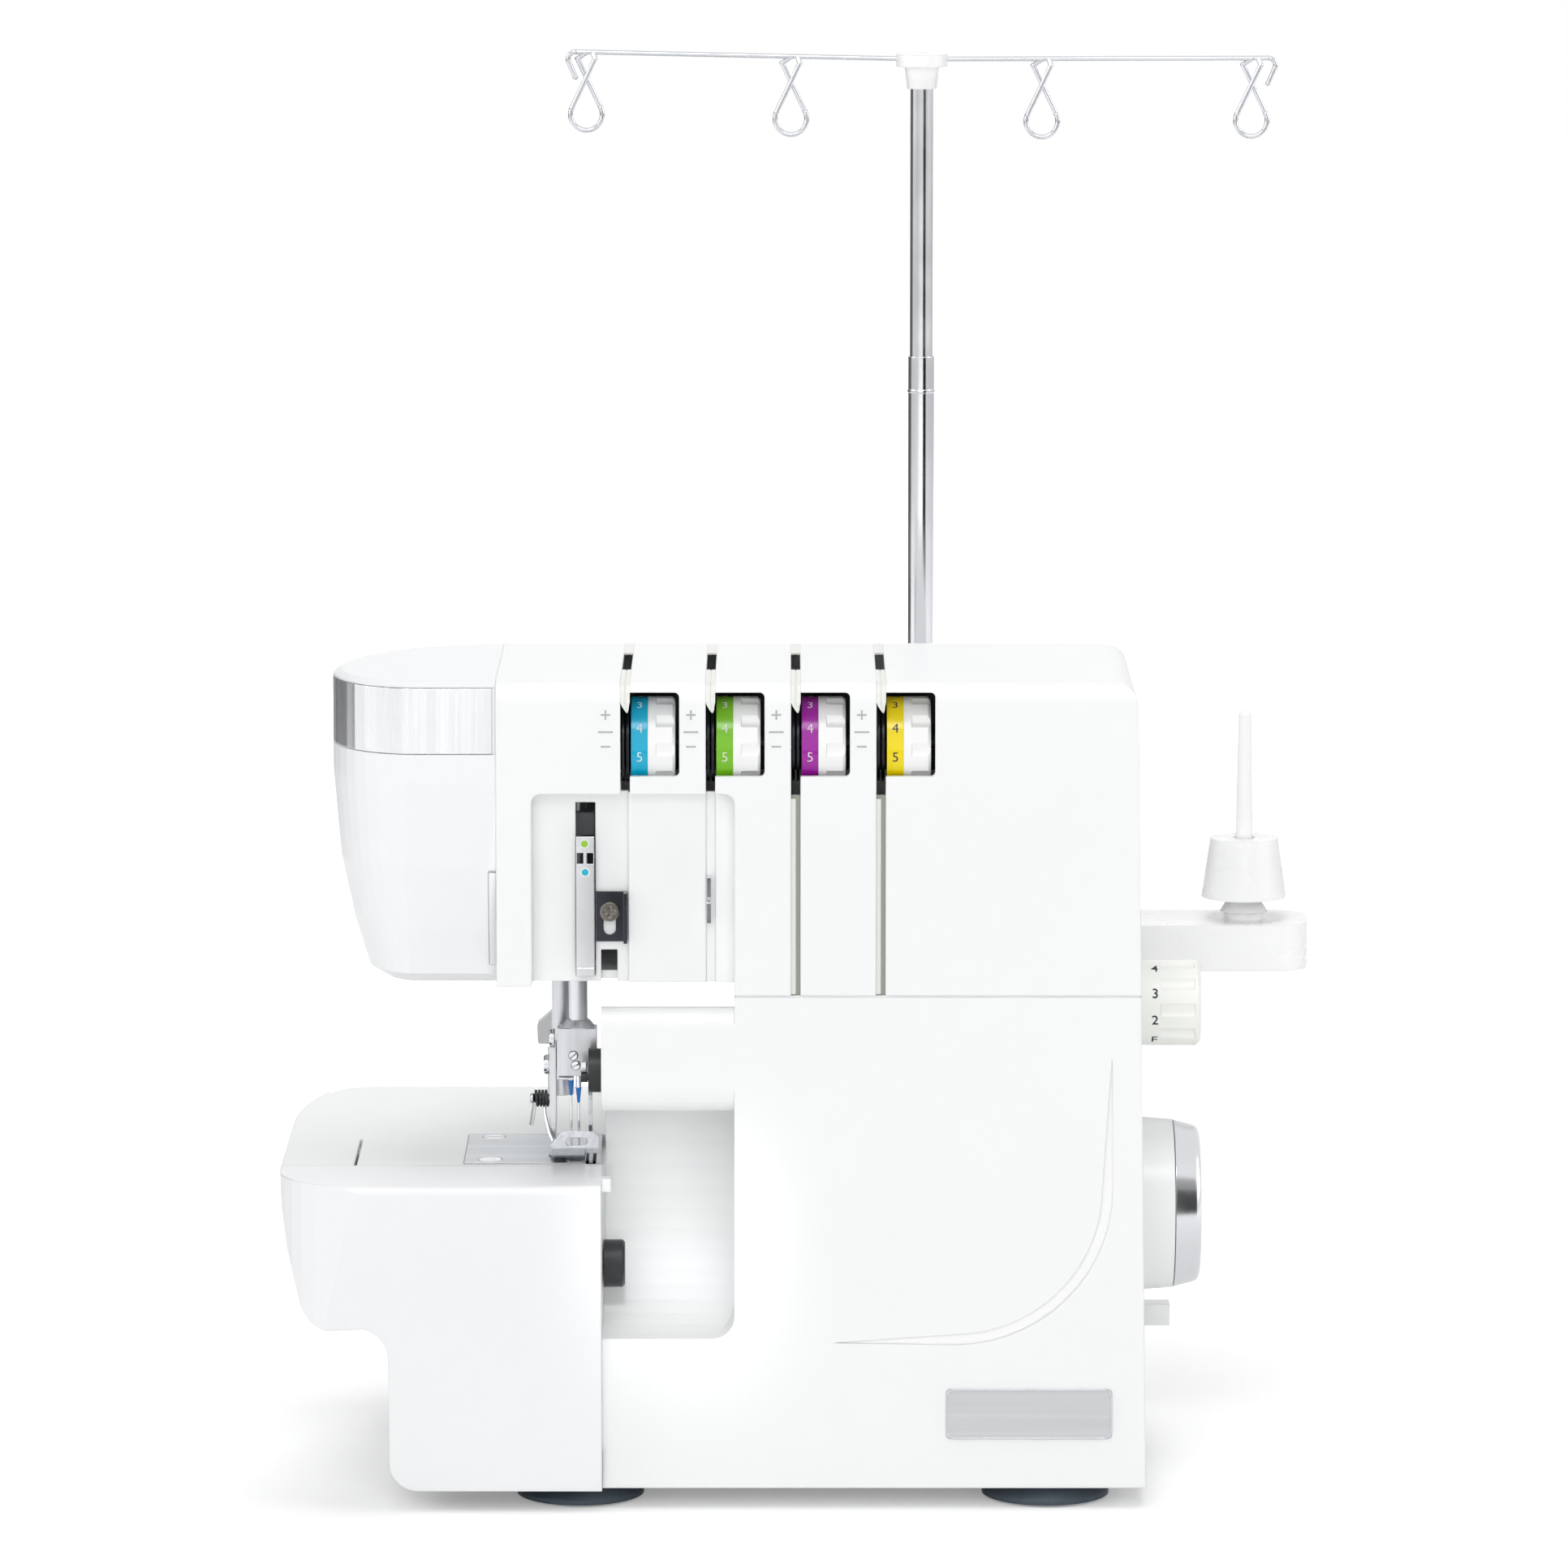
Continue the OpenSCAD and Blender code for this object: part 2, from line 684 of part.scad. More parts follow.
module needle_plate() {
    z = bed_z - plate_t;
    t = plate_t + 0.4;
    color("silver")
        difference() {
            block([plate_x[0], plate_y[0], z], [plate_x[1], plate_y[1], z + t]);
            // feed dog slots
            for (x = feed_x)
                along_z(z - 1, z + t + 1) rounded_rect([x - 1.4, needle.y + 4], [x + 1.4, needle.y + 30], 1.2);
            // needle opening with its stitch finger
            along_z(z - 1, z + t + 1) rounded_rect([needle.x - 3.4, needle.y - 3], [needle.x + 1.2, needle.y + 3], 1);
            // knife cutout
            block([needle.x + 2.4, needle.y - 12, z - 1], [needle.x + 6, needle.y + 12, z + t + 1]);
            for (y = screw_y) {
                rod_z(z - 1, z + t + 1, 2.1, screw_x, y);
                rod_z(z + t - 1.2, z + t + 1, 4.2, screw_x, y);
            }
        }
}

feed_x = [-needle_x - 9, -needle_x - 4.8];
screw_x = plate_x[0] + 8.8;
screw_y = [plate_y[0] + 6, plate_y[1] - 6];

module plate_screws() {
    z = bed_z + 0.4;
    color("gainsboro")
        for (y = screw_y)
            difference() {
                union() {
                    rod_z(z - 1.2, z, 4, screw_x, y);
                    rod_z(bed_z - plate_t, z - 1.2, 1.9, screw_x, y);
                }
                translate([screw_x, y, z]) rotate([0, 0, 8]) cube([9, 1, 1.2], center = true);
            }
}

module badge_plate() {
    size = [57.3, 17.6];
    corner = [right_reach - 65, scoop_z - 35];
    color("silver")
        along_y(front_y - 0.8, front_y)
            rounded_rect(corner, corner + size, 1.6);
}

// ---- Frame and drive ----

looper_shaft_r = 3;
wall_y = -46;
feed_rod_r = 2.5;
feed_rod = [-needle_x - 7, bed_z - 29];
spindle_r = 3;
lever_neck = [5.2, 7.2];
lever_travel = [-12, 10];
bar_top = arm_z + 72;
clamp_z = [bed_z + 30.8, bed_z + 47.3];
needle_top = bed_z + 38;
knife_x = [needle.x + 3.6, needle.x + 4.9];
lifter_w = 6;
lifter_pin_r = 1.6;
lifter_pivot = [arm_rear_y + 6, arm_z + 7];
lower_pivot = [-needle_x - 24, bed_z - 62];
upper_pivot = [-needle_x - 2, bed_z - 62];
knob_y = -front_reach + 19;
knob_z = bed_z - 33;
length_dial_z = seam_z - 17.4;
lever_z = 50.5;
inlet_y = [4, 30];
inlet_z = [18, 34];
switch_z = [40, 60];
motor_y = 18;
motor_z = 45;
motor_r = 24;
motor_x = [right_reach - 82, right_reach - 34];
motor_shaft_r = 2.5;
pulley_x = right_reach - 16;

module machine_frame() {
    post_x = [column_x + 8, column_x + 20];
    beam_y = [presser.y + 8, -18];
    bushing_z = [arm_z + 4, arm_z + 48];
    color("darkgray")
        difference() {
            union() {
                // sole, bolted to the base pan
                block([bed_right + wall + gap, -40, body_z + pan_t], [right_reach - 30, 40, body_z + 8]);
                // post with a web
                block([post_x[0], -40, body_z + 8], [post_x[1], -8, arm_z + 62]);
                along_y(-26, -20) polygon([[post_x[1], body_z + 8], [post_x[1] + 40, body_z + 8], [post_x[1], 70]]);
                // arm beam
                block([presser.x - 4, beam_y[0], arm_z + 20], [post_x[0] + 1, -40, arm_z + 44]);
                block([post_x[0], beam_y[0], arm_z + 20], [post_x[1], -39, arm_z + 44]);
                // bushing blocks of the two bars
                block([presser.x - 6, needle.y - 6, bushing_z[0]], [needle.x + 6, beam_y[0] + 1, bushing_z[0] + 10]);
                block([presser.x - 6, needle.y - 6, bushing_z[1]], [needle.x + 6, beam_y[0] + 1, bushing_z[1] + 8]);
                block([presser.x - 6, beam_y[0] - 1, bushing_z[0]], [needle.x + 6, beam_y[0] + 6, bushing_z[1] + 8]);
                // outer bearing of the main shaft
                block([right_reach - 34, shaft_y - 8, body_z + 8], [right_reach - 28, shaft_y + 8, shaft_z + 10]);
                // cradle of the motor
                block([right_reach - 86, motor_y - 20, body_z + 8], [right_reach - 30, motor_y + 20, motor_z - motor_r + 5]);
            }
            rod_z(arm_z, bar_top, needle_bar_d / 2 + run, needle.x, needle.y);
            rod_z(arm_z, bar_top, presser_bar_d / 2 + run, presser.x, presser.y);
            rod_x(post_x[0] - 1, post_x[1] + 1, shaft_r + run, shaft_y, shaft_z);
            rod_x(right_reach - 35, right_reach - 27, shaft_r + run, shaft_y, shaft_z);
            rod_x(right_reach - 90, right_reach - 20, motor_r + 0.02, motor_y, motor_z);
        }
}

module motor() {
    color("darkslategray") {
        rod_x(motor_x[0], motor_x[1], motor_r, motor_y, motor_z);
        rod_x(motor_x[0] - 6, motor_x[0], 9, motor_y, motor_z);
        rod_x(motor_x[1], motor_x[1] + 10, 8, motor_y, motor_z);
        rod_x(motor_x[1] + 10, pulley_x + 8, motor_shaft_r, motor_y, motor_z);
    }
}

module motor_pulley() {
    color("dimgray")
        difference() {
            union() {
                rod_x(pulley_x - 5, pulley_x + 5, 7, motor_y, motor_z);
                rod_x(pulley_x + 5, pulley_x + 6.5, 9, motor_y, motor_z);
                rod_x(pulley_x - 6.5, pulley_x - 5, 9, motor_y, motor_z);
            }
            rod_x(pulley_x - 10, pulley_x + 10, motor_shaft_r + run, motor_y, motor_z);
        }
}

module main_shaft() {
    color("lightsteelblue") {
        rod_x(bed_right + 14, right_x(shaft_z) + wheel_w - 4, shaft_r, shaft_y, shaft_z);
        difference() {
            rod_x(pulley_x - 6, pulley_x + 6, 22, shaft_y, shaft_z);
            rod_x(pulley_x - 5, pulley_x + 5, 30, shaft_y, shaft_z);
        }
        rod_x(pulley_x - 5, pulley_x + 5, 20, shaft_y, shaft_z);
        // collar against the post of the frame
        rod_x(column_x + 20.3, column_x + 26, 9, shaft_y, shaft_z);
    }
}

// Flat belt round both pulleys
module drive_belt() {
    big = [shaft_y, shaft_z];
    small = [motor_y, motor_z];
    span = norm(small - big);
    lean = atan2(small.y - big.y, small.x - big.x);
    module loop(grow) {
        wrap = acos((20 - 7) / span);
        translate(big) rotate(lean)
            polygon(concat(
                arc(0, 0, 20 + grow, wrap, 360 - wrap, 30),
                arc(span, 0, 7 + grow, -wrap, wrap, 16)));
    }
    color("black")
        along_x(pulley_x - 3.5, pulley_x + 3.5)
            difference() {
                loop(2);
                loop(0.35);
            }
}

module handwheel() {
    x = right_x(shaft_z) + gap + 0.4;
    color("white")
        translate([x, shaft_y, shaft_z]) rotate([0, 90, 0]) rotate_extrude()
            polygon([[shaft_r + seat, 0], [wheel_r + 0.6, 0], [wheel_r - 0.4, wheel_w * 0.57],
                [wheel_r - 8, wheel_w * 0.57], [wheel_r - 8, 8], [shaft_r + seat, 8]]);
}

module handwheel_rim() {
    x = right_x(shaft_z) + gap + 0.4;
    low = wheel_w * 0.57;
    color("silver")
        translate([x, shaft_y, shaft_z]) rotate([0, 90, 0]) rotate_extrude()
            polygon(concat(
                [[shaft_r + seat, 8], [wheel_r - 8.2, 8], [wheel_r - 8.2, low + 0.25], [wheel_r - 0.5, low + 0.25]],
                arc(wheel_r - 5.2, wheel_w - 3, 3, 10, 90, 6),
                [[wheel_r - 10, wheel_w], [wheel_r - 12, wheel_w - 2], [0, wheel_w - 2], [0, wheel_w - 3.5],
                    [shaft_r + seat, wheel_w - 3.5]]));
}

// ---- Tension ----

module tension_posts() {
    plate_z = [dial_z - 12, body_h - wall];
    color("silver") {
        block([slot_x(0) - 6, dial_y + dial_r + 3, plate_z[0]], [slot_x(3) + 22, dial_y + dial_r + 4.5, plate_z[1]]);
        for (i = [0 : 3]) {
            block([slot_x(i) - slot_w / 2 - 2, dial_y - 7, dial_z - 7],
                [slot_x(i) - slot_w / 2 - 0.6, dial_y + dial_r + 3.1, dial_z + 7]);
            rod_x(slot_x(i) - slot_w / 2 - 0.7, slot_x(i) + slot_w / 2 + dial_w + 1.6, 2, dial_y, dial_z);
            for (side = [-1, 1])
                rod_x(slot_x(i) + (side < 0 ? -1.3 : 0.3), slot_x(i) + (side < 0 ? -0.3 : 1.3), 13, dial_y, dial_z);
        }
    }
}

function dial_x(i) = slot_x(i) + slot_w / 2 + gap;

module tension_ring(i) {
    x = dial_x(i);
    difference() {
        rod_x(x, x + dial_w * 0.37, dial_r, dial_y, dial_z);
        rod_x(x - 1, x + dial_w, 2 + run, dial_y, dial_z);
    }
}

module tension_knob(i) {
    x = dial_x(i) + dial_w * 0.37;
    w = dial_w * 0.63 - 0.4;
    grips = 10;
    difference() {
        union() {
            rod_x(x, x + w - 1, dial_r, dial_y, dial_z);
            rod_x(x + w - 1, x + w, dial_r, dial_y, dial_z, dial_r - 1);
        }
        rod_x(x - 1, x + w + 1, 2 + run, dial_y, dial_z);
        for (k = [0 : grips - 1])
            translate([x + w * 0.3, dial_y, dial_z]) rotate([k * 360 / grips, 0, 0])
                translate([0, -dial_r - 3.4, 0]) rotate([0, 90, 0]) cylinder(h = w, r = 4.2, $fn = 24);
    }
}

module tension_knob_1() { color("white") tension_knob(0); }
module tension_knob_2() { color("white") tension_knob(1); }
module tension_knob_3() { color("white") tension_knob(2); }
module tension_knob_4() { color("white") tension_knob(3); }
module tension_ring_1() { color("deepskyblue") tension_ring(0); }
module tension_ring_2() { color("limegreen") tension_ring(1); }
module tension_ring_3() { color("purple") tension_ring(2); }
module tension_ring_4() { color("gold") tension_ring(3); }

module slot_guides() {
    z = arm_z + 21;
    x = slot_x(1) - 0.7;
    color("silver")
        difference() {
            block([x - 0.8, front_y + recess_d - 6.5, z], [x + 0.8, front_y + recess_d - 1.4, z + 16]);
            rod_x(x - 2, x + 2, 1.6, front_y + recess_d - 5, z + 8);
        }
}

module arm_thread_guide() {
    floor_y = front_y + recess_d;
    x = [needle.x + 6.8, recess_split - 0.5];
    z = [arm_z + 14, arm_z + 31.3];
    color("silver")
        difference() {
            union() {
                block([x[0], floor_y - 1.2, z[0]], [x[1], floor_y, z[1]]);
                block([x[1] - 1.2, floor_y - 6, z[0]], [x[1], floor_y, z[1]]);
            }
            along_y(floor_y - 2, floor_y + 1) {
                translate([x[0] + 4.6, z[0] + 10.5]) circle(2.1);
                translate([x[0] + 2.5, z[0] + 4.4]) square([4.2, 6.1]);
                translate([x[0] + 4.6, z[0] + 4.4]) circle(2.1);
            }
        }
}

module guide_screw() {
    floor_y = front_y + recess_d;
    x = needle.x + 11.4;
    z = arm_z + 24.5;
    color("silver")
        difference() {
            union() {
                rod_y(floor_y - 3.2, floor_y - 1.2, 3.3, x, z);
                rod_y(floor_y - 1.2, floor_y, 1.8, x, z);
            }
            translate([x, floor_y - 3.2, z]) cube([4, 2, 1], center = true);
            translate([x, floor_y - 3.2, z]) cube([1, 2, 4], center = true);
        }
}

// ---- Needle bar ----

module needle_bar() {
    color("silver") {
        rod_z(clamp_z[1], bar_top, needle_bar_d / 2, needle.x, needle.y);
        // collar that carries the take-up lever
        difference() {
            block([needle.x - 5, needle.y - 14, arm_z + 27], [needle.x + 4.6, needle.y + 4.6, arm_z + 37]);
            rod_z(arm_z + 26, arm_z + 38, needle_bar_d / 2, needle.x, needle.y);
        }
    }
}

module needle_clamp() {
    x = [needle.x - 6.6, needle.x + 6.4];
    y = [needle.y - 5.4, needle.y + 4.2];
    color("silver")
        difference() {
            union() {
                block([x[0], y[0], clamp_z[0]], [x[1], y[1], clamp_z[1]]);
                rod_z(clamp_z[1], clamp_z[1] + 2.6, 5.9, needle.x, needle.y, 3.9);
                // thread guide plate folded under the front edge
                block([x[0] - 0.7, y[0], clamp_z[0] - 1.3], [x[0], y[1] - 3, clamp_z[1] + 0.2]);
                block([x[0] - 0.7, y[0], clamp_z[0] - 1.3], [x[0] + 5, y[0] + 3.4, clamp_z[0] - 0.6]);
            }
            rod_z(clamp_z[1], clamp_z[1] + 3, needle_bar_d / 2, needle.x, needle.y);
            for (side = [-1, 1])
                rod_z(clamp_z[0] - 2, needle_top, 1, needle.x - 1.3 + side * needle_pitch / 2, needle.y);
            for (p = [[-1.6, 7.2], [-0.8, 3.8]])
                rod_y(y[0] - 1, y[0] + 0.8, 1.6, needle.x + p.x, clamp_z[0] + p.y);
        }
}

module needles() {
    color("lightgray")
        for (side = [-1, 1])
            translate([needle.x - 1.3 + side * needle_pitch / 2, needle.y, 0]) {
                shank_z = clamp_z[0] - 3.6 - side * 1.3;
                rod_z(shank_z, needle_top - 0.2, 1, 0, 0);
                rod_z(shank_z - 5.4, shank_z, 0.45, 0, 0, 1);
                rod_z(bed_z + 6.5, shank_z - 5.4, 0.45, 0, 0);
                rod_z(bed_z + 3.5, bed_z + 6.5, 0.1, 0, 0, 0.45);
            }
}

module take_up() {
    x = needle.x + 3.2;
    y = needle.y - 28;
    low = arm_z + 4;
    color("silver")
        difference() {
            union() {
                // face plate of the lever
                block([x - 3.1, y, low], [x + 3.1, y + 1.2, arm_z + 51]);
                // folded edges
                for (side = [-1, 1])
                    block([x + side * 2.6 - 0.5, y, low + 2], [x + side * 2.6 + 0.5, y + 4, arm_z + 45]);
                // lip and hooks at the lower end
                block([x - 3.1, y - 1, low - 1], [x + 3.1, y + 2, low + 1.6]);
                // arm that reaches back to the collar on the needle bar
                block([x - 2.1, y + 1, arm_z + 28], [x + 1.4, needle.y - 14, arm_z + 36]);
            }
            for (side = [-1, 1])
                block([x + side * 1.7 - 1.1, y - 1, arm_z + 41.6], [x + side * 1.7 + 1.1, y + 5, arm_z + 45.4]);
        }
}

// ---- Presser foot ----

module presser_bar() {
    color("silver") rod_z(bed_z + 26, bar_top, presser_bar_d / 2, presser.x, presser.y);
}

module presser_holder() {
    x = [presser.x - 3.7, presser.x - 1.4];
    color("silver")
        difference() {
            union() {
                rod_z(bed_z + 22, bed_z + 38, 4.6, presser.x, presser.y);
                block([x[0], presser.y - 8.8, bed_z + 12], [x[1], presser.y + 3, bed_z + 41]);
                block([x[0], presser.y - 3, bed_z + 22], [presser.x, presser.y + 3, bed_z + 36]);
            }
            rod_z(bed_z + 26, bed_z + 39, presser_bar_d / 2, presser.x, presser.y);
            block([presser.x - 5, presser.y - presser_bar_d / 2, bed_z + 38], [presser.x + 5, presser.y + 4, bed_z + 42]);
        }
}

module presser_foot() {
    sole_z = bed_z + 1.6;
    x = [presser.x - 2.6, needle.x + 2.2];
    front = needle.y - 10;
    color("gainsboro")
        difference() {
            union() {
                // sole that turns up into the toe
                along_x(x[0], x[1])
                    polygon([[needle.y + 24, sole_z], [needle.y + 24, sole_z + 1.6], [needle.y - 3.4, sole_z + 1.6],
                        [front + 3, sole_z + 3], [front + 1.4, sole_z + 5.4], [front, sole_z + 5],
                        [front + 1.4, sole_z + 2], [front + 4.6, sole_z]]);
                // upright shield with a swept left corner
                along_y(front, front + 1.4)
                    difference() {
                        polygon([[x[0] - 0.5, sole_z + 5.6], [needle.x - 5.6, sole_z + 10.4], [needle.x - 4.4, sole_z + 10.8],
                            [needle.x + 5.6, sole_z + 10.6], [needle.x + 7.1, sole_z + 9.2], [needle.x + 7.1, sole_z + 4.6],
                            [x[0], sole_z + 4.4]]);
                        rounded_rect([needle.x - 4.3, sole_z + 5.6], [needle.x + 3.4, sole_z + 8.4], 1.3);
                    }
                // ankle up to the holder
                block([presser.x - 3.6, presser.y - 8.8, sole_z], [presser.x - 1.5, presser.y + 2, bed_z + 12]);
            }
            // needle opening
            along_z(sole_z - 1, sole_z + 3) rounded_rect([needle.x - 4.2, needle.y - 3.2], [needle.x + 1.4, needle.y + 3.2], 1);
        }
}

module foot_lifter() {
    x = presser.x - 7;
    y = lifter_pivot.x;
    z = lifter_pivot.y;
    half = lifter_w / 2;
    color("whitesmoke")
        difference() {
            union() {
                rod_x(x - half, x + half, 4, y, z);
                intersection() {
                    along_x(x - half, x + 7)
                        polygon([[y - 3.4, z - 2], [y + 3.4, z - 2], [y + 7, z - 34], [y + 2, z - 47], [y - 2, z - 46]]);
                    // neck behind the presser bar, widening into a finger pad
                    along_y(y - 8, y + 10)
                        polygon(concat(
                            [[x - half, z - 2], [x - half, z - 7], [x + 2.8, z - 13], [x + 2.8, z - 34.4]],
                            arc(x - half + 2, z - 40, 2, 110, 180, 4), arc(x - half + 2.2, z - 45, 2, 180, 270, 4),
                            [[x + 6.8, z - 47], [x + 6.8, z - 11], [x + half, z - 5.6], [x + half, z - 2]]));
                }
            }
            rod_x(x - lifter_w, x + lifter_w, lifter_pin_r + run, y, z);
        }
}

// ---- Loopers, knives and feed ----

module looper_blade(pivot, y, tip, bend, t) {
    reach = tip - pivot;
    along_y(y, y + t)
        difference() {
            union() {
                translate(pivot) circle(5.5);
                polygon([pivot + [-4, 0], pivot + [4, 0], pivot + reach * 0.75 + [bend + 2.4, 0],
                    tip + [0, 0], pivot + reach * 0.75 + [bend - 2, 2]]);
            }
            translate(pivot + reach * 0.5) circle(1.2);
        }
}

module lower_looper() {
    tip = [needle.x - 6, bed_z - 8];
    color("silver") {
        looper_blade(lower_pivot, needle.y - 4, tip, -5, 2.4);
        rod_y(needle.y - 3, wall_y + 10, looper_shaft_r, lower_pivot.x, lower_pivot.y);
    }
}

module upper_looper() {
    tip = [needle.x - 5, bed_z - 6];
    color("silver") {
        looper_blade(upper_pivot, needle.y + 1.4, tip, -1, 2.2);
        rod_y(needle.y + 3, wall_y + 10, looper_shaft_r, upper_pivot.x, upper_pivot.y);
    }
}

module looper_guides() {
    guide_x = base_x + 7.6;
    color("silver")
        for (x = [guide_x, (guide_x + lower_pivot.x - 3) / 2], z = [bed_z - 30, bed_z - 50]) {
            rod_y(wall_y - 8, wall_y, 1.2, x, z);
            difference() {
                rod_y(wall_y - 9, wall_y - 7, 3.6, x, z - 3.2);
                rod_y(wall_y - 10, wall_y - 6, 1.8, x, z - 3.2);
            }
        }
}

module lower_knife() {
    y = [needle.y - 4, needle.y + 8];
    top = bed_z - plate_t;
    color("lightsteelblue") {
        block([needle.x + 1, y[0], top - 16], [needle.x + 3.2, y[1], top - 0.2]);
        block([needle.x + 1, y[0], top - 20], [bed_right - wall, y[1], top - 14]);
    }
}

// Upright blade that shears down past the lower knife, through the notch of the needle plate
module upper_knife() {
    y = needle.y;
    color("lightsteelblue")
        along_x(knife_x[0], knife_x[1])
            polygon([[y - 4.5, bed_z - 7], [y + 4, bed_z - 9], [y + 4, bed_z + 12], [y - 5.8, bed_z + 16],
                [y - 5.8, bed_z + 34], [y - 15, bed_z + 34], [y - 15, bed_z + 27], [y - 9, bed_z + 24.8],
                [y - 7.3, bed_z + 24.8], [y - 7.3, bed_z + 14], [y - 4.5, bed_z + 11]]);
}

module knife_knob() {
    at = [needle.y - 13.5, bed_z + 34.4];
    color("black")
        difference() {
            union() {
                rod_x(knife_x[0] + 0.2, knife_x[1] + 3.3, 7.6, at.x, at.y);
                rod_x(knife_x[0] - 2.4, knife_x[0] + 0.2, 1.8, at.x, at.y - 2.4);
            }
            block([knife_x[0] - 0.1, at.x - 1.5, bed_z + 20], [knife_x[1], needle.y, bed_z + 34]);
            rod_x(knife_x[1] + 2.5, knife_x[1] + 4, 5.8, at.x, at.y);
        }
}

module feed_dog() {
    teeth = 8;
    pitch = 2.4;
    top = bed_z + 1;
    color("silver") {
        for (x = feed_x)
            along_x(x - 1, x + 1)
                polygon(concat(
                    [[needle.y + 6.4 + teeth * pitch, bed_z - 9], [needle.y + 6.4, bed_z - 9]],
                    [for (i = [0 : teeth - 1], k = [0, 1])
                        [needle.y + 6.4 + i * pitch + k * (pitch - 0.4), k == 0 ? top - 1.2 : top]],
                    [[needle.y + 6.4 + teeth * pitch, top - 1.2]]));
        block([feed_x[0] - 3, needle.y + 12, bed_z - 13], [feed_x[1] + 3, needle.y + 22, bed_z - 9]);
        // bracket and rod that carry the feed dog
        block([feed_rod.x - 2, wall_y - 6, feed_rod.y - 3], [feed_rod.x + 2, wall_y - 2, bed_z - 12]);
        rod_y(wall_y - 5, wall_y + 10, feed_rod_r, feed_rod.x, feed_rod.y);
    }
}

module cutting_width_knob() {
    color("black") {
        rod_x(bed_right + 0.3, bed_right + 6.8, width_knob_r, knob_y, knob_z);
        rod_x(bed_right + 6.8, bed_right + 7.6, width_knob_r, knob_y, knob_z, width_knob_r - 0.8);
        rod_x(bed_right - wall - 4, bed_right + 0.4, 2, knob_y, knob_z);
    }
}

// ---- Controls on the right wall ----

module stitch_length_dial() {
    x = right_x(length_dial_z) + gap;
    color("white") {
        difference() {
            union() {
                rod_x(x, x + 22, length_dial_r, shaft_y, length_dial_z);
                rod_x(x + 22, x + 23.4, length_dial_r, shaft_y, length_dial_z, length_dial_r - 1.4);
            }
            for (k = [0 : 9])
                translate([x + 9, shaft_y, length_dial_z]) rotate([k * 36, 0, 0])
                    translate([0, -length_dial_r - 2.6, 0]) rotate([0, 90, 0]) cylinder(h = 12, r = 3.6, $fn = 24);
        }
        rod_x(x - 16, x, spindle_r, shaft_y, length_dial_z);
    }
}

module feed_lever() {
    x = right_x(lever_z);
    inner = x - wall - gap;
    neck = lever_neck / 2;
    color("white") {
        // runner against the inside of the wall
        block([inner - 2.4, shaft_y - 8, lever_z - 7], [inner, shaft_y + 8, lever_z + 7]);
        block([inner - 1, shaft_y - neck[0], lever_z - neck[1]], [x + 9, shaft_y + neck[0], lever_z + neck[1]]);
        block([x + 0.6, shaft_y - 4, lever_z - 3.8], [x + 12, shaft_y + 4, lever_z + 3.8]);
    }
}

module power_inlet() {
    x = right_x(inlet_z[0]);
    color("black") {
        difference() {
            block([x - 16, inlet_y[0] + seat, inlet_z[0] + seat], [x - 0.6, inlet_y[1] - seat, inlet_z[1] - seat]);
            block([x - 13, inlet_y[0] + 3, inlet_z[0] + 3], [x + 1, inlet_y[1] - 3, inlet_z[1] - 3]);
        }
        for (k = [0 : 2])
            rod_x(x - 14, x - 8, 1, inlet_y[0] + 7 + k * 6, (inlet_z[0] + inlet_z[1]) / 2);
    }
}

module power_switch() {
    x = right_x(switch_z[1]);
    mid = (switch_z[0] + switch_z[1]) / 2;
    color("black")
        difference() {
            along_y(inlet_y[0] + 0.3, inlet_y[1] - 0.3)
                polygon([[x - 8, mid - 5], [x - 8, mid + 5], [x - 1.6, mid + 8.6], [x + 0.6, mid + 8.2],
                    [x - 0.8, mid], [x + 1.4, mid - 8.2], [x - 1, mid - 8.8]]);
            rod_y(inlet_y[0], inlet_y[1], 1.2, x - 4.04, mid);
        }
}

// ---- Thread stand ----

tray_y = [mast_y - tray_d / 2, mast_y + tray_d / 2];
tray_h = 17;
pin_offsets = [-118, -45, 45, 118];

module spool_tray() {
    left = mast_x - tray_w / 2;
    right = mast_x + tray_w / 2;
    color("white")
        difference() {
            union() {
                difference() {
                    along_z(tray_z - tray_h, tray_z) rounded_rect([left, tray_y[0]], [right, tray_y[1]], 12);
                    along_z(tray_z - tray_h - 1, tray_z - wall)
                        rounded_rect([left + wall, tray_y[0] + wall], [right - wall, tray_y[1] - wall], 12 - wall);
                }
                // ribs and mast socket inside the tray
                for (x = [-80, 80])
                    block([mast_x + x - 1, tray_y[0] + 1, tray_z - tray_h + 2], [mast_x + x + 1, tray_y[1] - 1, tray_z - 1]);
                rod_z(tray_z - 32, tray_z + 4, mast_d / 2 + 4, mast_x, mast_y);
                // bosses of the spool pins
                for (dx = pin_offsets)
                    rod_z(tray_z - tray_h + 4, tray_z + 2.6, 8.6, mast_x + dx, mast_y, 7);
                // bracket to the back of the machine
                block([mast_x - 34, rear_y, tray_z - tray_h], [mast_x + 34, tray_y[0] + 1, tray_z - tray_h + 12]);
            }
            rod_z(tray_z - 28, tray_z + 5, mast_d / 2 + 0.02, mast_x, mast_y);
            for (dx = pin_offsets)
                rod_z(tray_z - tray_h + 8, tray_z + 5, 3.6, mast_x + dx, mast_y);
        }
}

module spool_pins() {
    color("white")
        for (dx = pin_offsets)
            translate([mast_x + dx, mast_y, 0]) {
                rod_z(tray_z - tray_h + 8, tray_z + 12, 3.6, 0, 0);
                rod_z(tray_z + 12, tray_z + pin_h - 1.6, 3.5, 0, 0, 2.4);
                rod_z(tray_z + pin_h - 1.6, tray_z + pin_h, 2.4, 0, 0, 1.2);
            }
}

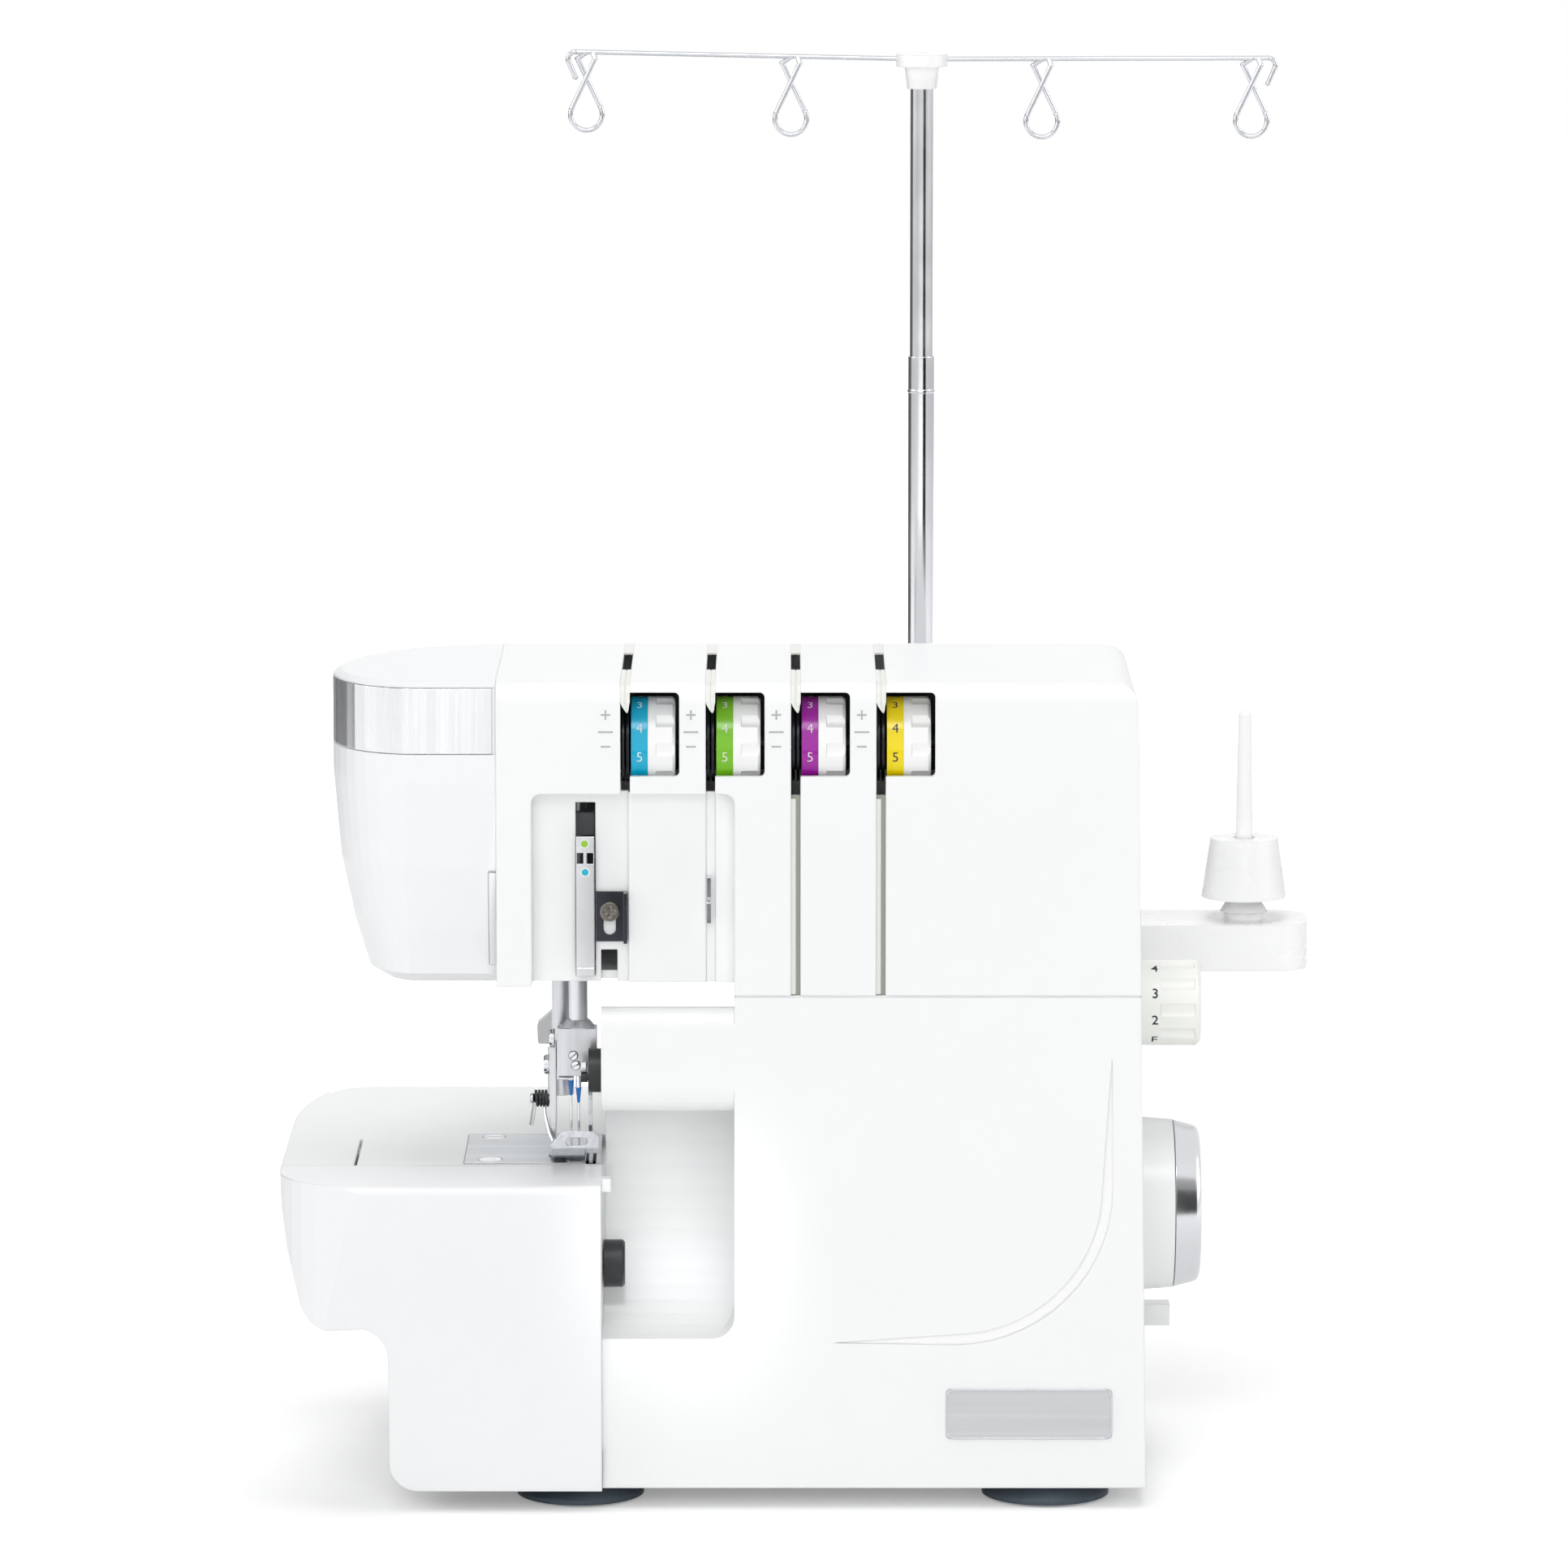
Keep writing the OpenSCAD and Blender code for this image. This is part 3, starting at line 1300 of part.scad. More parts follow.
module cone_holders() {
    low = tray_z + 8;
    height = 21.6;
    pin_hole = 3.75;
    color("whitesmoke")
        for (dx = pin_offsets)
            translate([mast_x + dx, mast_y, 0])
                difference() {
                    union() {
                        difference() {
                            rod_z(low, low + height, 15.6, 0, 0, 12.4);
                            rod_z(low - 1, low + height - 2.4, 13.8, 0, 0, 10.4);
                        }
                        // hub with a flared foot
                        rod_z(tray_z + 2.7, low, 8.7, 0, 0, 5.4);
                        rod_z(low, low + height - 1, 5.4, 0, 0);
                        // ribs between the hub and the cone
                        for (k = [0 : 2]) rotate(k * 60) intersection() {
                            rod_z(low, low + height - 1, 15.2, 0, 0, 12);
                            block([-16, -0.7, low], [16, 0.7, low + height]);
                        }
                    }
                    rod_z(tray_z, low + height + 1, pin_hole, 0, 0);
                }
}

module mast_lower() {
    r = mast_d / 2;
    bore = r - tube_wall;
    color("silver")
        difference() {
            union() {
                rod_z(tray_z - 28, mast_joint_z, r, mast_x, mast_y);
                rod_z(mast_joint_z - 13, mast_joint_z - 12, r + 0.25, mast_x, mast_y);
            }
            rod_z(tray_z - 27, mast_joint_z + 1, bore, mast_x, mast_y);
        }
}

module mast_upper() {
    color("silver")
        difference() {
            rod_z(mast_joint_z - 60, mast_top_z, upper_tube_r, mast_x, mast_y);
            rod_z(mast_joint_z - 61, mast_top_z - 20, upper_tube_r - tube_wall, mast_x, mast_y);
        }
}

upper_tube_r = mast_d / 2 - tube_wall - run;
cap_z = mast_top_z - 8;

module guide_cap() {
    color("white")
        difference() {
            union() {
                rod_z(cap_z, cap_z + 8, 5.3, mast_x, mast_y, 6.2);
                rod_z(cap_z + 8, cap_z + 12.4, 9.2, mast_x, mast_y);
            }
            rod_z(cap_z - 1, mast_top_z, upper_tube_r + run, mast_x, mast_y);
            translate([mast_x, mast_y, bar_z]) bar_run();
        }
}

bar_z = mast_top_z + 2.5;
hook_r = 2.6;
bar_reach = guide_span / 2 - hook_r;

function bar_lift(x) = (x < 0 ? -0.021 : 0.003) * x;

// A stretch of wire between two points
module wire(from, to) {
    reach = to - from;
    flat = norm([reach.x, reach.y]);
    translate(from) rotate([0, atan2(flat, reach.z), atan2(reach.y, reach.x)])
        cylinder(h = norm(reach), d = wire_d, $fn = 20);
}

// Where two stretches of the wire meet
module wire_joint(p) {
    translate(p) sphere(d = wire_d * 1.08, $fn = 20);
}

// Round bend of the wire in the plane of the bar
module wire_bend(center, r, from, sweep) {
    translate(center) rotate([90, 0, 0]) rotate([0, 0, from])
        rotate_extrude(angle = sweep, $fn = 48) translate([r, 0]) circle(d = wire_d, $fn = 20);
}

// Teardrop eye: one strand leaves the bar, crosses in front of the other and closes a round loop
module thread_eye() {
    loop_r = 5.7;
    loop_z = -22.4;
    side = 25;
    for (s = [-1, 1]) {
        hand = [1.4 - s, 0, 0];
        shoulder = [-3.2 * s, s, -2.4];
        knee = [loop_r * cos(side) * s, s, loop_z + loop_r * sin(side)];
        foot = [loop_r * cos(side) * s, 0, loop_z + loop_r * sin(side)];
        wire(hand, shoulder);
        wire(shoulder, knee);
        wire(knee, foot);
        for (p = [hand, shoulder, knee, foot]) wire_joint(p);
    }
    wire_bend([0, 0, loop_z], loop_r, 180 - side, 180 + 2 * side);
}

// Straight run of the guide bar, crimped in the cap; its left half rises a little
module bar_run() {
    for (s = [-1, 1])
        wire([s * bar_reach, 0, bar_lift(s * bar_reach)], [0, 0, 0]);
    rod_z(-1.6, 1.6, 2, 0, 0);
}

module thread_guide_bar() {
    eye_shift = [-2.5, -2, -1.8, 0.5];
    color("silver") translate([mast_x, mast_y, bar_z]) {
        bar_run();
        for (i = [0 : 3]) {
            x = pin_offsets[i] + eye_shift[i];
            translate([x, 0, bar_lift(x)]) thread_eye();
        }
        for (s = [-1, 1])
            translate([s * bar_reach, 0, bar_lift(s * bar_reach) - hook_r]) {
                turn = [s * hook_r * cos(20), 0, -hook_r * sin(20)];
                tip = [0, 0, -6.6];
                wire_joint([0, 0, hook_r]);
                wire_bend([0, 0, 0], hook_r, s > 0 ? -20 : 90, 110);
                wire_joint(turn);
                wire(turn, tip);
                wire_joint(tip);
            }
    }
}

base_pan();
rubber_feet();
lower_housing();
upper_housing();
rear_cover();
face_cover();
face_band();
bed_body();
cloth_plate();
needle_plate();
plate_screws();
badge_plate();
machine_frame();
motor();
drive_belt();
tension_posts();
slot_guides();
arm_thread_guide();
guide_screw();
looper_guides();
lower_knife();
power_inlet();
spool_tray();
spool_pins();
cone_holders();
mast_lower();
looper_cover();
tension_knob_1();
tension_ring_1();
tension_knob_2();
tension_ring_2();
tension_knob_3();
tension_ring_3();
tension_knob_4();
tension_ring_4();
stitch_length_dial();
feed_lever();
handwheel();
handwheel_rim();
main_shaft();
motor_pulley();
needle_bar();
needle_clamp();
needles();
take_up();
presser_bar();
presser_holder();
presser_foot();
foot_lifter();
lower_looper();
upper_looper();
upper_knife();
knife_knob();
feed_dog();
cutting_width_knob();
mast_upper();
thread_guide_bar();
guide_cap();
power_switch();
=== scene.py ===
"""Looks of a four-thread overlock machine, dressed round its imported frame."""

import json
import logging
import math
from dataclasses import dataclass, field
from enum import Enum
from typing import Callable, Sequence

import bmesh
import bpy
from mathutils import Matrix, Vector

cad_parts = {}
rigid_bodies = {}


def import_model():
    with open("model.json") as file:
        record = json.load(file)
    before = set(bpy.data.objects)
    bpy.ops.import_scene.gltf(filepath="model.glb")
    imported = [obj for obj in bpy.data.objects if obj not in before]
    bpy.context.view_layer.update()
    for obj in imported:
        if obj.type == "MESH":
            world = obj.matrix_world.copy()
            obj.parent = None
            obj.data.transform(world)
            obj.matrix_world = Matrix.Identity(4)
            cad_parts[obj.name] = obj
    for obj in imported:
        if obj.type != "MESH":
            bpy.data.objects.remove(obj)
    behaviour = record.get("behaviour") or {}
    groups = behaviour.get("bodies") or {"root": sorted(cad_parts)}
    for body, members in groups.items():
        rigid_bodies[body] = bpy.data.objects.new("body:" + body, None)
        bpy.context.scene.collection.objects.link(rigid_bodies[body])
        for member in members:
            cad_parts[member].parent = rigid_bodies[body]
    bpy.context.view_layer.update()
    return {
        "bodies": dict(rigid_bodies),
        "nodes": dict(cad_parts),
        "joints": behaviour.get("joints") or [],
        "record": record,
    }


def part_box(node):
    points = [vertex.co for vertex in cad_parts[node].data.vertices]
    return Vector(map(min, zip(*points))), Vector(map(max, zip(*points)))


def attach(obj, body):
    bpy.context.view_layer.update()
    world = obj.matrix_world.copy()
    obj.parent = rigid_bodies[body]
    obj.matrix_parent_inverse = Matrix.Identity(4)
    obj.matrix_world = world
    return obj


LOG = logging.getLogger("overlock")
MM = 0.001

WELD = 1e-7
PRINT_LIFT = 0.02 * MM
PRINT_DEPTH = 0.08 * MM

Colour = tuple[float, float, float]
Point = tuple[float, float, float]
Pair = tuple[float, float]
Form = bmesh.types.BMesh
Node = bpy.types.Node
Socket = bpy.types.NodeSocket
Thing = bpy.types.Object
Tree = bpy.types.NodeTree


def from_hex(code: str) -> Colour:
    """Turn a written colour into linear light.

    Args:
        code: Six hexadecimal digits after a hash sign.

    Returns:
        The red, green and blue shares of linear light.
    """
    shares = [int(code[i : i + 2], 16) / 255 for i in (1, 3, 5)]
    return tuple(s / 12.92 if s <= 0.04045 else ((s + 0.055) / 1.055) ** 2.4 for s in shares)


def shaded(colour: Colour, factor: float) -> Colour:
    """Return a colour made darker or lighter by a factor."""
    return tuple(min(1.0, c * factor) for c in colour)


def mixed(a: Colour, b: Colour, share: float) -> Colour:
    """Return a colour part of the way from one to another."""
    return tuple(x + (y - x) * share for x, y in zip(a, b))


def fill(tree: Tree, socket: Socket, value: object) -> None:
    """Link a socket to another one, or give it a colour or a number."""
    if isinstance(value, bpy.types.NodeSocket):
        tree.links.new(value, socket)
    elif isinstance(value, tuple):
        socket.default_value = (*value, 1.0)
    else:
        socket.default_value = value


def add_node(tree: Tree, kind: str, feeds: dict[str | int, object] | None = None, **settings: object) -> Node:
    """Add a shader node and fill its inputs.

    Args:
        tree: Where the node goes.
        kind: The node's type without the leading ShaderNode.
        feeds: What each input takes: a socket, a colour or a number.
        settings: Properties of the node itself.

    Returns:
        The new node.
    """
    node = tree.nodes.new("ShaderNode" + kind)
    for name, value in settings.items():
        setattr(node, name, value)
    for name, value in (feeds or {}).items():
        fill(tree, node.inputs[name], value)
    return node


def ramp(tree: Tree, value: Socket, source: Pair = (0.0, 1.0), target: Pair = (0.0, 1.0)) -> Socket:
    """Carry a clamped stretch of a value over to a range of values."""
    ends = dict(zip(("From Min", "From Max", "To Min", "To Max"), source + target))
    return add_node(tree, "MapRange", {"Value": value, **ends}).outputs["Result"]


class Effect(Enum):
    """Surface effects that several finishes share."""

    GRAIN = "moulded_grain"
    WEAR = "edge_wear"
    DUST = "settled_dust"
    BRUSHED = "brushed_lines"
    SCUFF = "fine_scuffs"


class Axis(Enum):
    """World axis that a thing points along or is turned about."""

    X = 0
    Y = 1
    Z = 2


@dataclass
class EffectShelf:
    """Builds each shared effect once and hands its node group out.

    Scales are noise cycles per metre. A span is the stretch of a value that becomes 0 to 1.
    """

    groups: dict[Effect, Tree] = field(default_factory=dict)
    skin_scale: float = 1400.0
    drift_scale: float = 9.0
    drift_span: Pair = (0.3, 0.7)
    edge_span: Pair = (0.995, 0.86)
    patch_scale: float = 120.0
    patch_span: Pair = (0.42, 0.6)
    upward_span: Pair = (0.45, 1.0)
    haze_scale: float = 60.0
    haze_span: Pair = (0.35, 0.75)
    fine_scale: float = 3000.0
    broad_scale: float = 420.0
    streak_span: Pair = (0.35, 0.65)
    smudge_scale: float = 45.0
    smudge_span: Pair = (0.45, 0.7)

    def take(self, effect: Effect) -> Tree:
        """Return the node group of an effect, built on first use."""
        if effect not in self.groups:
            makers: dict[Effect, Callable[[Tree], None]] = {
                Effect.GRAIN: self._grain,
                Effect.WEAR: self._wear,
                Effect.DUST: self._dust,
                Effect.BRUSHED: self._brushed,
                Effect.SCUFF: self._scuff,
            }
            tree = bpy.data.node_groups.new(effect.value, "ShaderNodeTree")
            makers[effect](tree)
            self.groups[effect] = tree
        return self.groups[effect]

    @staticmethod
    def _open(tree: Tree, **inputs: float) -> bpy.types.bpy_prop_collection:
        """Give a group its inputs with their default values and return their sockets."""
        for name, value in inputs.items():
            socket = tree.interface.new_socket(
                name=name.replace("_", " "), in_out="INPUT", socket_type="NodeSocketFloat"
            )
            socket.default_value = value
        return tree.nodes.new("NodeGroupInput").outputs

    @staticmethod
    def _close(tree: Tree, **outputs: Socket) -> None:
        """Give a group its outputs and link what each one hands out."""
        for name in outputs:
            tree.interface.new_socket(name=name, in_out="OUTPUT", socket_type="NodeSocketFloat")
        node = tree.nodes.new("NodeGroupOutput")
        for name, value in outputs.items():
            tree.links.new(value, node.inputs[name])

    @staticmethod
    def _place(tree: Tree) -> Socket:
        """Read where a point lies on its object."""
        return add_node(tree, "TexCoord").outputs["Object"]

    @staticmethod
    def _noise(tree: Tree, vector: Socket, scale: float, detail: float) -> Socket:
        """Read noise at a place, with a number of octaves of detail."""
        return add_node(tree, "TexNoise", {"Vector": vector, "Scale": scale, "Detail": detail}).outputs["Fac"]

    @staticmethod
    def _times(tree: Tree, a: Socket, b: Socket) -> Socket:
        """Multiply two values."""
        return add_node(tree, "Math", {0: a, 1: b}, operation="MULTIPLY").outputs[0]

    def _grain(self, tree: Tree) -> None:
        """Build the fine skin of a moulded surface and its slow drift of tone."""
        ins = self._open(tree, Density=1.0)
        place = self._place(tree)
        feeds = {0: place, "Scale": ins["Density"]}
        scaled = add_node(tree, "VectorMath", feeds, operation="SCALE").outputs[0]
        drift = self._noise(tree, place, self.drift_scale, 2.0)
        skin = self._noise(tree, scaled, self.skin_scale, 2.0)
        self._close(tree, Height=skin, Tone=ramp(tree, drift, self.drift_span))

    def _wear(self, tree: Tree) -> None:
        """Build a mask of outer edges, broken up by noise."""
        ins = self._open(tree, Radius=0.0006)
        rounded = add_node(tree, "Bevel", {"Radius": ins["Radius"]}, samples=4).outputs["Normal"]
        true = add_node(tree, "NewGeometry").outputs["Normal"]
        turn = add_node(tree, "VectorMath", {0: rounded, 1: true}, operation="DOT_PRODUCT").outputs["Value"]
        edge = ramp(tree, turn, self.edge_span)
        patches = self._noise(tree, self._place(tree), self.patch_scale, 3.0)
        self._close(tree, Mask=self._times(tree, edge, ramp(tree, patches, self.patch_span)))

    def _dust(self, tree: Tree) -> None:
        """Build a mask of a faint haze that lies on upward faces."""
        ins = self._open(tree, Amount=0.3)
        normal = add_node(tree, "NewGeometry").outputs["Normal"]
        up = ramp(tree, add_node(tree, "SeparateXYZ", {0: normal}).outputs["Z"], self.upward_span)
        haze = self._noise(tree, self._place(tree), self.haze_scale, 4.0)
        lying = self._times(tree, up, ramp(tree, haze, self.haze_span))
        self._close(tree, Mask=self._times(tree, lying, ins["Amount"]))

    def _brushed(self, tree: Tree) -> None:
        """Build fine parallel lines whose run is set by three stretch factors."""
        ins = self._open(tree, Along_X=1.0, Along_Y=1.0, Along_Z=1.0)
        stretch = add_node(tree, "CombineXYZ", {axis: ins["Along " + axis] for axis in "XYZ"}).outputs[0]
        feeds = {0: self._place(tree), 1: stretch}
        scaled = add_node(tree, "VectorMath", feeds, operation="MULTIPLY").outputs[0]
        fine = self._noise(tree, scaled, self.fine_scale, 2.0)
        broad = self._noise(tree, scaled, self.broad_scale, 2.0)
        self._close(tree, Height=fine, Streak=ramp(tree, broad, self.streak_span))

    def _scuff(self, tree: Tree) -> None:
        """Build sparse smudges that only change how sharp a reflection is."""
        ins = self._open(tree, Cover=0.5)
        cloud = self._noise(tree, self._place(tree), self.smudge_scale, 5.0)
        self._close(tree, Mask=self._times(tree, ramp(tree, cloud, self.smudge_span), ins["Cover"]))


class Sketch:
    """One material's node tree while a finish is being laid out in it."""

    def __init__(self, name: str, shelf: EffectShelf) -> None:
        """Start a material with a bare principled shader.

        Args:
            name: The finish's name.
            shelf: Where shared effects come from.
        """
        self.shelf = shelf
        self.material = bpy.data.materials.new(name)
        self.material.use_nodes = True
        self.tree = self.material.node_tree
        self.shader = self.tree.nodes["Principled BSDF"]

    def effect(self, effect: Effect, **values: float) -> bpy.types.bpy_prop_collection:
        """Place a shared effect with this material's own values and return its outputs."""
        feeds = {name.replace("_", " "): value for name, value in values.items()}
        return add_node(self.tree, "Group", feeds, node_tree=self.shelf.take(effect)).outputs

    def blend(self, mask: Socket, low: Socket | Colour, high: Socket | Colour) -> Socket:
        """Mix two colours; the mask is the share of the second."""
        return add_node(self.tree, "Mix", {"Factor": mask, 6: low, 7: high}, data_type="RGBA").outputs[2]

    def span(self, value: Socket, low: float, high: float) -> Socket:
        """Carry a 0..1 mask over to a range of values."""
        return ramp(self.tree, value, target=(low, high))

    def rough(self, mask: Socket, middle: float, spread: Pair) -> Socket:
        """Let a mask move the roughness between two steps about its middle."""
        return self.span(mask, middle + spread[0], middle + spread[1])

    def relief(self, height: Socket, strength: float, depth: float, radius: float) -> None:
        """Give the surface a small relief over softly rounded edges.

        Args:
            height: The relief's height.
            strength: How much of it shows.
            depth: Its depth in metres.
            radius: The rounding of the edges in metres.
        """
        bump = add_node(self.tree, "Bump", {"Strength": strength, "Distance": depth, "Height": height})
        if radius:
            bevel = add_node(self.tree, "Bevel", {"Radius": radius}, samples=6)
            fill(self.tree, bump.inputs["Normal"], bevel.outputs["Normal"])
        self.feed(Normal=bump.outputs["Normal"])

    def feed(self, **values: object) -> None:
        """Fill sockets of the shader, with an underscore for each space in a name."""
        for name, value in values.items():
            fill(self.tree, self.shader.inputs[name.replace("_", " ")], value)


@dataclass(frozen=True)
class Finish:
    """What all finishes share: a name and a colour, written as six hexadecimal digits."""

    name: str
    code: str

    def begin(self, shelf: EffectShelf) -> tuple[Sketch, Colour]:
        """Open the finish's material and return it with its colour in linear light."""
        return Sketch(self.name, shelf), from_hex(self.code)


@dataclass(frozen=True)
class MouldedPlastic(Finish):
    """A moulded plastic skin with fine grain, soft edges and a trace of dust."""

    roughness: float = 0.34
    drift: float = 0.985
    spread: Pair = (0.0, 0.12)
    relief: Pair = (0.12, 0.03 * MM)
    rounding: float = 0.8
    milky: float = 0.0
    haze: float = 0.22
    scuffs: float = 0.6
    edge_tone: float = 1.04
    dust_colour: Colour = (0.62, 0.6, 0.57)
    dust_share: float = 0.16

    def make(self, shelf: EffectShelf) -> bpy.types.Material:
        """Lay the finish out as nodes."""
        sketch, colour = self.begin(shelf)
        skin = sketch.effect(Effect.GRAIN, Density=1.0)
        worn = sketch.effect(Effect.WEAR, Radius=self.rounding * MM)["Mask"]
        dust = sketch.effect(Effect.DUST, Amount=self.haze)["Mask"]
        scuff = sketch.effect(Effect.SCUFF, Cover=self.scuffs)["Mask"]
        tone = sketch.blend(skin["Tone"], colour, shaded(colour, self.drift))
        edged = sketch.blend(worn, tone, shaded(colour, self.edge_tone))
        sketch.feed(
            Base_Color=sketch.blend(dust, edged, mixed(colour, self.dust_colour, self.dust_share)),
            Roughness=sketch.rough(scuff, self.roughness, self.spread),
        )
        if self.milky:
            sketch.feed(Subsurface_Weight=self.milky, Subsurface_Scale=3 * MM)
            sketch.shader.inputs["Subsurface Radius"].default_value = (1.0, 1.0, 1.0)
        sketch.relief(skin["Height"], *self.relief, self.rounding * MM)
        return sketch.material


@dataclass(frozen=True)
class PolishedMetal(Finish):
    """Bright plated metal with faint smudges."""

    roughness: float = 0.12
    rounding: float = 0.4
    drift: float = 0.94
    spread: Pair = (0.0, 0.1)
    relief: Pair = (0.05, 0.02 * MM)

    def make(self, shelf: EffectShelf) -> bpy.types.Material:
        """Lay the finish out as nodes."""
        sketch, colour = self.begin(shelf)
        scuff = sketch.effect(Effect.SCUFF, Cover=1.0)["Mask"]
        skin = sketch.effect(Effect.GRAIN, Density=0.6)
        sketch.feed(
            Base_Color=sketch.blend(skin["Tone"], colour, shaded(colour, self.drift)),
            Metallic=1.0,
            Roughness=sketch.rough(scuff, self.roughness, self.spread),
        )
        sketch.relief(skin["Height"], *self.relief, self.rounding * MM)
        return sketch.material


@dataclass(frozen=True)
class BrushedMetal(Finish):
    """Metal with fine parallel lines that run along one axis."""

    run: Axis = Axis.X
    roughness: float = 0.3
    streak: float = 0.9
    metallic: float = 1.0
    rounding: float = 0.4
    stretch: float = 0.012
    edge_tone: float = 1.15
    spread: Pair = (0.0, 0.08)
    relief: Pair = (0.22, 0.02 * MM)

    def make(self, shelf: EffectShelf) -> bpy.types.Material:
        """Lay the finish out as nodes."""
        sketch, colour = self.begin(shelf)
        along = {f"Along_{axis.name}": self.stretch if axis is self.run else 1.0 for axis in Axis}
        lines = sketch.effect(Effect.BRUSHED, **along)
        worn = sketch.effect(Effect.WEAR, Radius=self.rounding * MM)["Mask"]
        toned = sketch.blend(lines["Streak"], colour, shaded(colour, self.streak))
        sketch.feed(
            Base_Color=sketch.blend(worn, toned, shaded(colour, self.edge_tone)),
            Metallic=self.metallic,
            Roughness=sketch.rough(lines["Streak"], self.roughness, self.spread),
        )
        sketch.relief(lines["Height"], *self.relief, self.rounding * MM)
        return sketch.material


@dataclass(frozen=True)
class CastMetal(Finish):
    """Rough cast or painted metal inside the machine."""

    metallic: float = 0.6
    roughness: float = 0.55
    coarse: float = 0.35
    drift: float = 0.86
    edge_tone: float = 1.3
    spread: Pair = (-0.08, 0.12)
    relief: Pair = (0.5, 0.12 * MM)
    rounding: float = 0.8

    def make(self, shelf: EffectShelf) -> bpy.types.Material:
        """Lay the finish out as nodes."""
        sketch, colour = self.begin(shelf)
        skin = sketch.effect(Effect.GRAIN, Density=self.coarse)
        worn = sketch.effect(Effect.WEAR, Radius=self.rounding * MM)["Mask"]
        toned = sketch.blend(skin["Tone"], colour, shaded(colour, self.drift))
        sketch.feed(
            Base_Color=sketch.blend(worn, toned, shaded(colour, self.edge_tone)),
            Metallic=self.metallic,
            Roughness=sketch.rough(skin["Height"], self.roughness, self.spread),
        )
        sketch.relief(skin["Height"], *self.relief, self.rounding * MM)
        return sketch.material


@dataclass(frozen=True)
class Rubber(Finish):
    """Matt rubber with a fine bloom."""

    roughness: float = 0.62
    drift: float = 0.85
    bloom: Colour = (0.4, 0.4, 0.4)
    bloom_share: float = 0.25
    spread: Pair = (-0.06, 0.1)
    relief: Pair = (0.35, 0.05 * MM)
    rounding: float = 0.8

    def make(self, shelf: EffectShelf) -> bpy.types.Material:
        """Lay the finish out as nodes."""
        sketch, colour = self.begin(shelf)
        skin = sketch.effect(Effect.GRAIN, Density=0.7)
        dust = sketch.effect(Effect.DUST, Amount=0.5)["Mask"]
        toned = sketch.blend(skin["Tone"], colour, shaded(colour, self.drift))
        sketch.feed(
            Base_Color=sketch.blend(dust, toned, mixed(colour, self.bloom, self.bloom_share)),
            Roughness=sketch.rough(skin["Height"], self.roughness, self.spread),
        )
        sketch.relief(skin["Height"], *self.relief, self.rounding * MM)
        return sketch.material


@dataclass(frozen=True)
class Ink(Finish):
    """Printed ink, slightly uneven and a little glossier than what it lies on."""

    roughness: float = 0.42
    drift: float = 0.92
    spread: Pair = (0.0, 0.1)
    relief: Pair = (0.1, 0.01 * MM)

    def make(self, shelf: EffectShelf) -> bpy.types.Material:
        """Lay the finish out as nodes."""
        sketch, colour = self.begin(shelf)
        skin = sketch.effect(Effect.GRAIN, Density=1.6)["Height"]
        sketch.feed(
            Base_Color=sketch.blend(skin, colour, shaded(colour, self.drift)),
            Roughness=sketch.rough(skin, self.roughness, self.spread),
        )
        sketch.relief(skin, *self.relief, 0.0)
        return sketch.material


